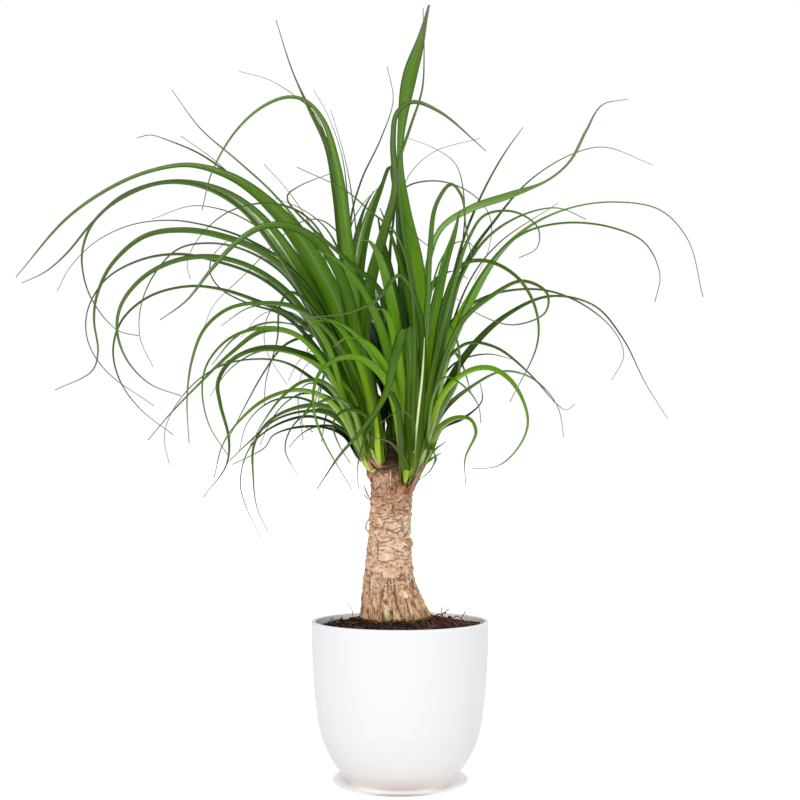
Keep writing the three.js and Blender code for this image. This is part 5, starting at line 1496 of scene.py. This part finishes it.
def pot_look(tree):
    """Matte white glaze, faintly mottled, with painted light: brighter inside against the shade there, a
    white foot ring as a painted highlight, and warmer towards the foot as painted warm light thrown up from
    the floor.
    """
    height = axis_of(tree, "Z")
    cloud = noise_value(tree, place_vector(tree), 14, 3.0)
    speck = noise_value(tree, place_vector(tree), 900, 2.0)
    # Painted light by height: the white foot ring is a painted highlight, and the warm tint above it, fading
    # up the bowl, is painted warm light from the floor.
    white = ramp(tree, between(tree, height, 0, 0.1), (0.024, (1, 0.99, 0.97)), (0.034, (0.98, 0.86, 0.79)),
                 (0.07, (0.83, 0.74, 0.71)), (0.12, (0.71, 0.655, 0.64)), (0.35, (0.70, 0.685, 0.692)),
                 (1.0, (0.69, 0.697, 0.714)))
    white = mixed(tree, between(tree, cloud, 0.35, 0.7, 0, 0.06), white, (0.68, 0.67, 0.68))
    # Painted light: the inside is brighter than the outside, against the shade inside the pot.
    white = mixed(tree, field(tree, "inside"), white, (0.96, 0.96, 0.96))
    relief = sum_of(tree, cloud, times(tree, speck, 0.3))
    return {
        "Base Color": white,
        "Roughness": between(tree, speck, 0.3, 0.7, 0.42, 0.52),
        "Specular IOR Level": 0.4,
        "Normal": bumped(tree, relief, 0.0002, 0.5),
    }


def floor_look(tree):
    """White, with a grey round painted under the pot as its contact shadow, darker just in front of the foot.
    The floor also glows a little in the same colours, which lightens the shadows cast on it.
    """
    grain = noise_value(tree, place_vector(tree), 3, 2.0)
    white = ramp(tree, grain, (0.0, (0.97, 0.97, 0.97)), (1.0, (0.98, 0.98, 0.98)))
    middle = (0, SHADOW_SPOT_BACK, 0)
    scale = (1 / SHADOW_SPOT_HALVES[0], 1 / SHADOW_SPOT_HALVES[1], 0)
    shifted = node(tree, "VectorMath", {0: place_vector(tree), 1: middle}, operation="SUBTRACT").outputs[0]
    scaled = node(tree, "VectorMath", {0: shifted, 1: scale}, operation="MULTIPLY").outputs[0]
    away = node(tree, "VectorMath", {0: scaled}, operation="LENGTH").outputs["Value"]
    # Painted shadow: a grey round under the pot, darker just in front of the foot.
    painted_front_shadow = between(tree, axis_of(tree, "Y", shifted), -0.066, -0.076)
    painted_shadow_round = mixed(tree, painted_front_shadow, (0.72, 0.73, 0.725), (0.36, 0.33, 0.33))
    colour = mixed(tree, between(tree, away, 0.99, 1.01), painted_shadow_round, white)
    return {
        "Base Color": mixed(tree, 1.0, colour, (0.64, 0.64, 0.64), "MULTIPLY"),
        "Emission Color": colour,
        "Emission Strength": 0.48,
    }


# Stage
def make_floor():
    mesh = bpy.data.meshes.new("floor")
    corners = [(x * FLOOR_REACH, y * FLOOR_REACH, 0) for x, y in ((-1, -1), (1, -1), (1, 1), (-1, 1))]
    mesh.from_pydata(corners, [], [(0, 1, 2, 3)])
    mesh.materials.append(material_of("pale_floor", 0.9, floor_look))
    floor = bpy.data.objects.new("floor", mesh)
    bpy.context.scene.collection.objects.link(floor)


def make_sky(around_object, behind_object):
    """Even white all round: one strength for light, and another as the camera sees it."""
    world = bpy.data.worlds.new("white_studio")
    bpy.context.scene.world = world
    world.use_nodes = True
    tree = world.node_tree
    light = tree.nodes["Background"]
    light.inputs["Color"].default_value = (1, 1, 1, 1)
    light.inputs["Strength"].default_value = around_object
    shown = node(tree, "Background", {"Color": (1, 1, 1, 1), "Strength": behind_object})
    seen_by = node(tree, "LightPath").outputs["Is Camera Ray"]
    both = node(tree, "MixShader", {0: seen_by, 1: light.outputs[0], 2: shown.outputs[0]})
    tree.links.new(both.outputs[0], tree.nodes["World Output"].inputs["Surface"])


def make_sun(name, strength, spread, tilt, turn):
    """A soft light, tilted back from straight down and turned round the Z axis, in degrees."""
    lamp = bpy.data.lights.new(name, "SUN")
    lamp.energy = strength
    lamp.angle = math.radians(spread)
    sun = bpy.data.objects.new(name, lamp)
    sun.rotation_euler = (math.radians(tilt), 0, math.radians(turn))
    bpy.context.scene.collection.objects.link(sun)


def make_camera():
    lens = bpy.data.cameras.new("camera")
    lens.lens = CAMERA_LENS
    lens.sensor_width = SENSOR_WIDTH
    lens.shift_y = CAMERA_SHIFT
    lens.clip_start = 0.01
    lens.clip_end = 200
    camera = bpy.data.objects.new("camera", lens)
    camera.location = CAMERA_PLACE
    camera.rotation_euler = (math.pi / 2, 0, 0)
    bpy.context.scene.collection.objects.link(camera)
    bpy.context.scene.camera = camera


make_camera()
make_floor()
make_sky(SKY_LIGHT, SKY_SHOWN)
for name, light in SUNS.items():
    make_sun(name, *light)
bpy.context.scene.view_settings.view_transform = "Standard"

make_pot(material_of("matte_white_glaze", 0.5, pot_look))
soil = material_of("moist_soil", 0.95, soil_look)
make_soil(soil)
make_soil_bits(soil)
bark = material_of("tan_bark", 0.85, bark_look)
make_trunk(bark)
make_flakes(bark)
make_collars(bark)
make_heads(material_of("glossy_leaf", 0.35, leaf_look))
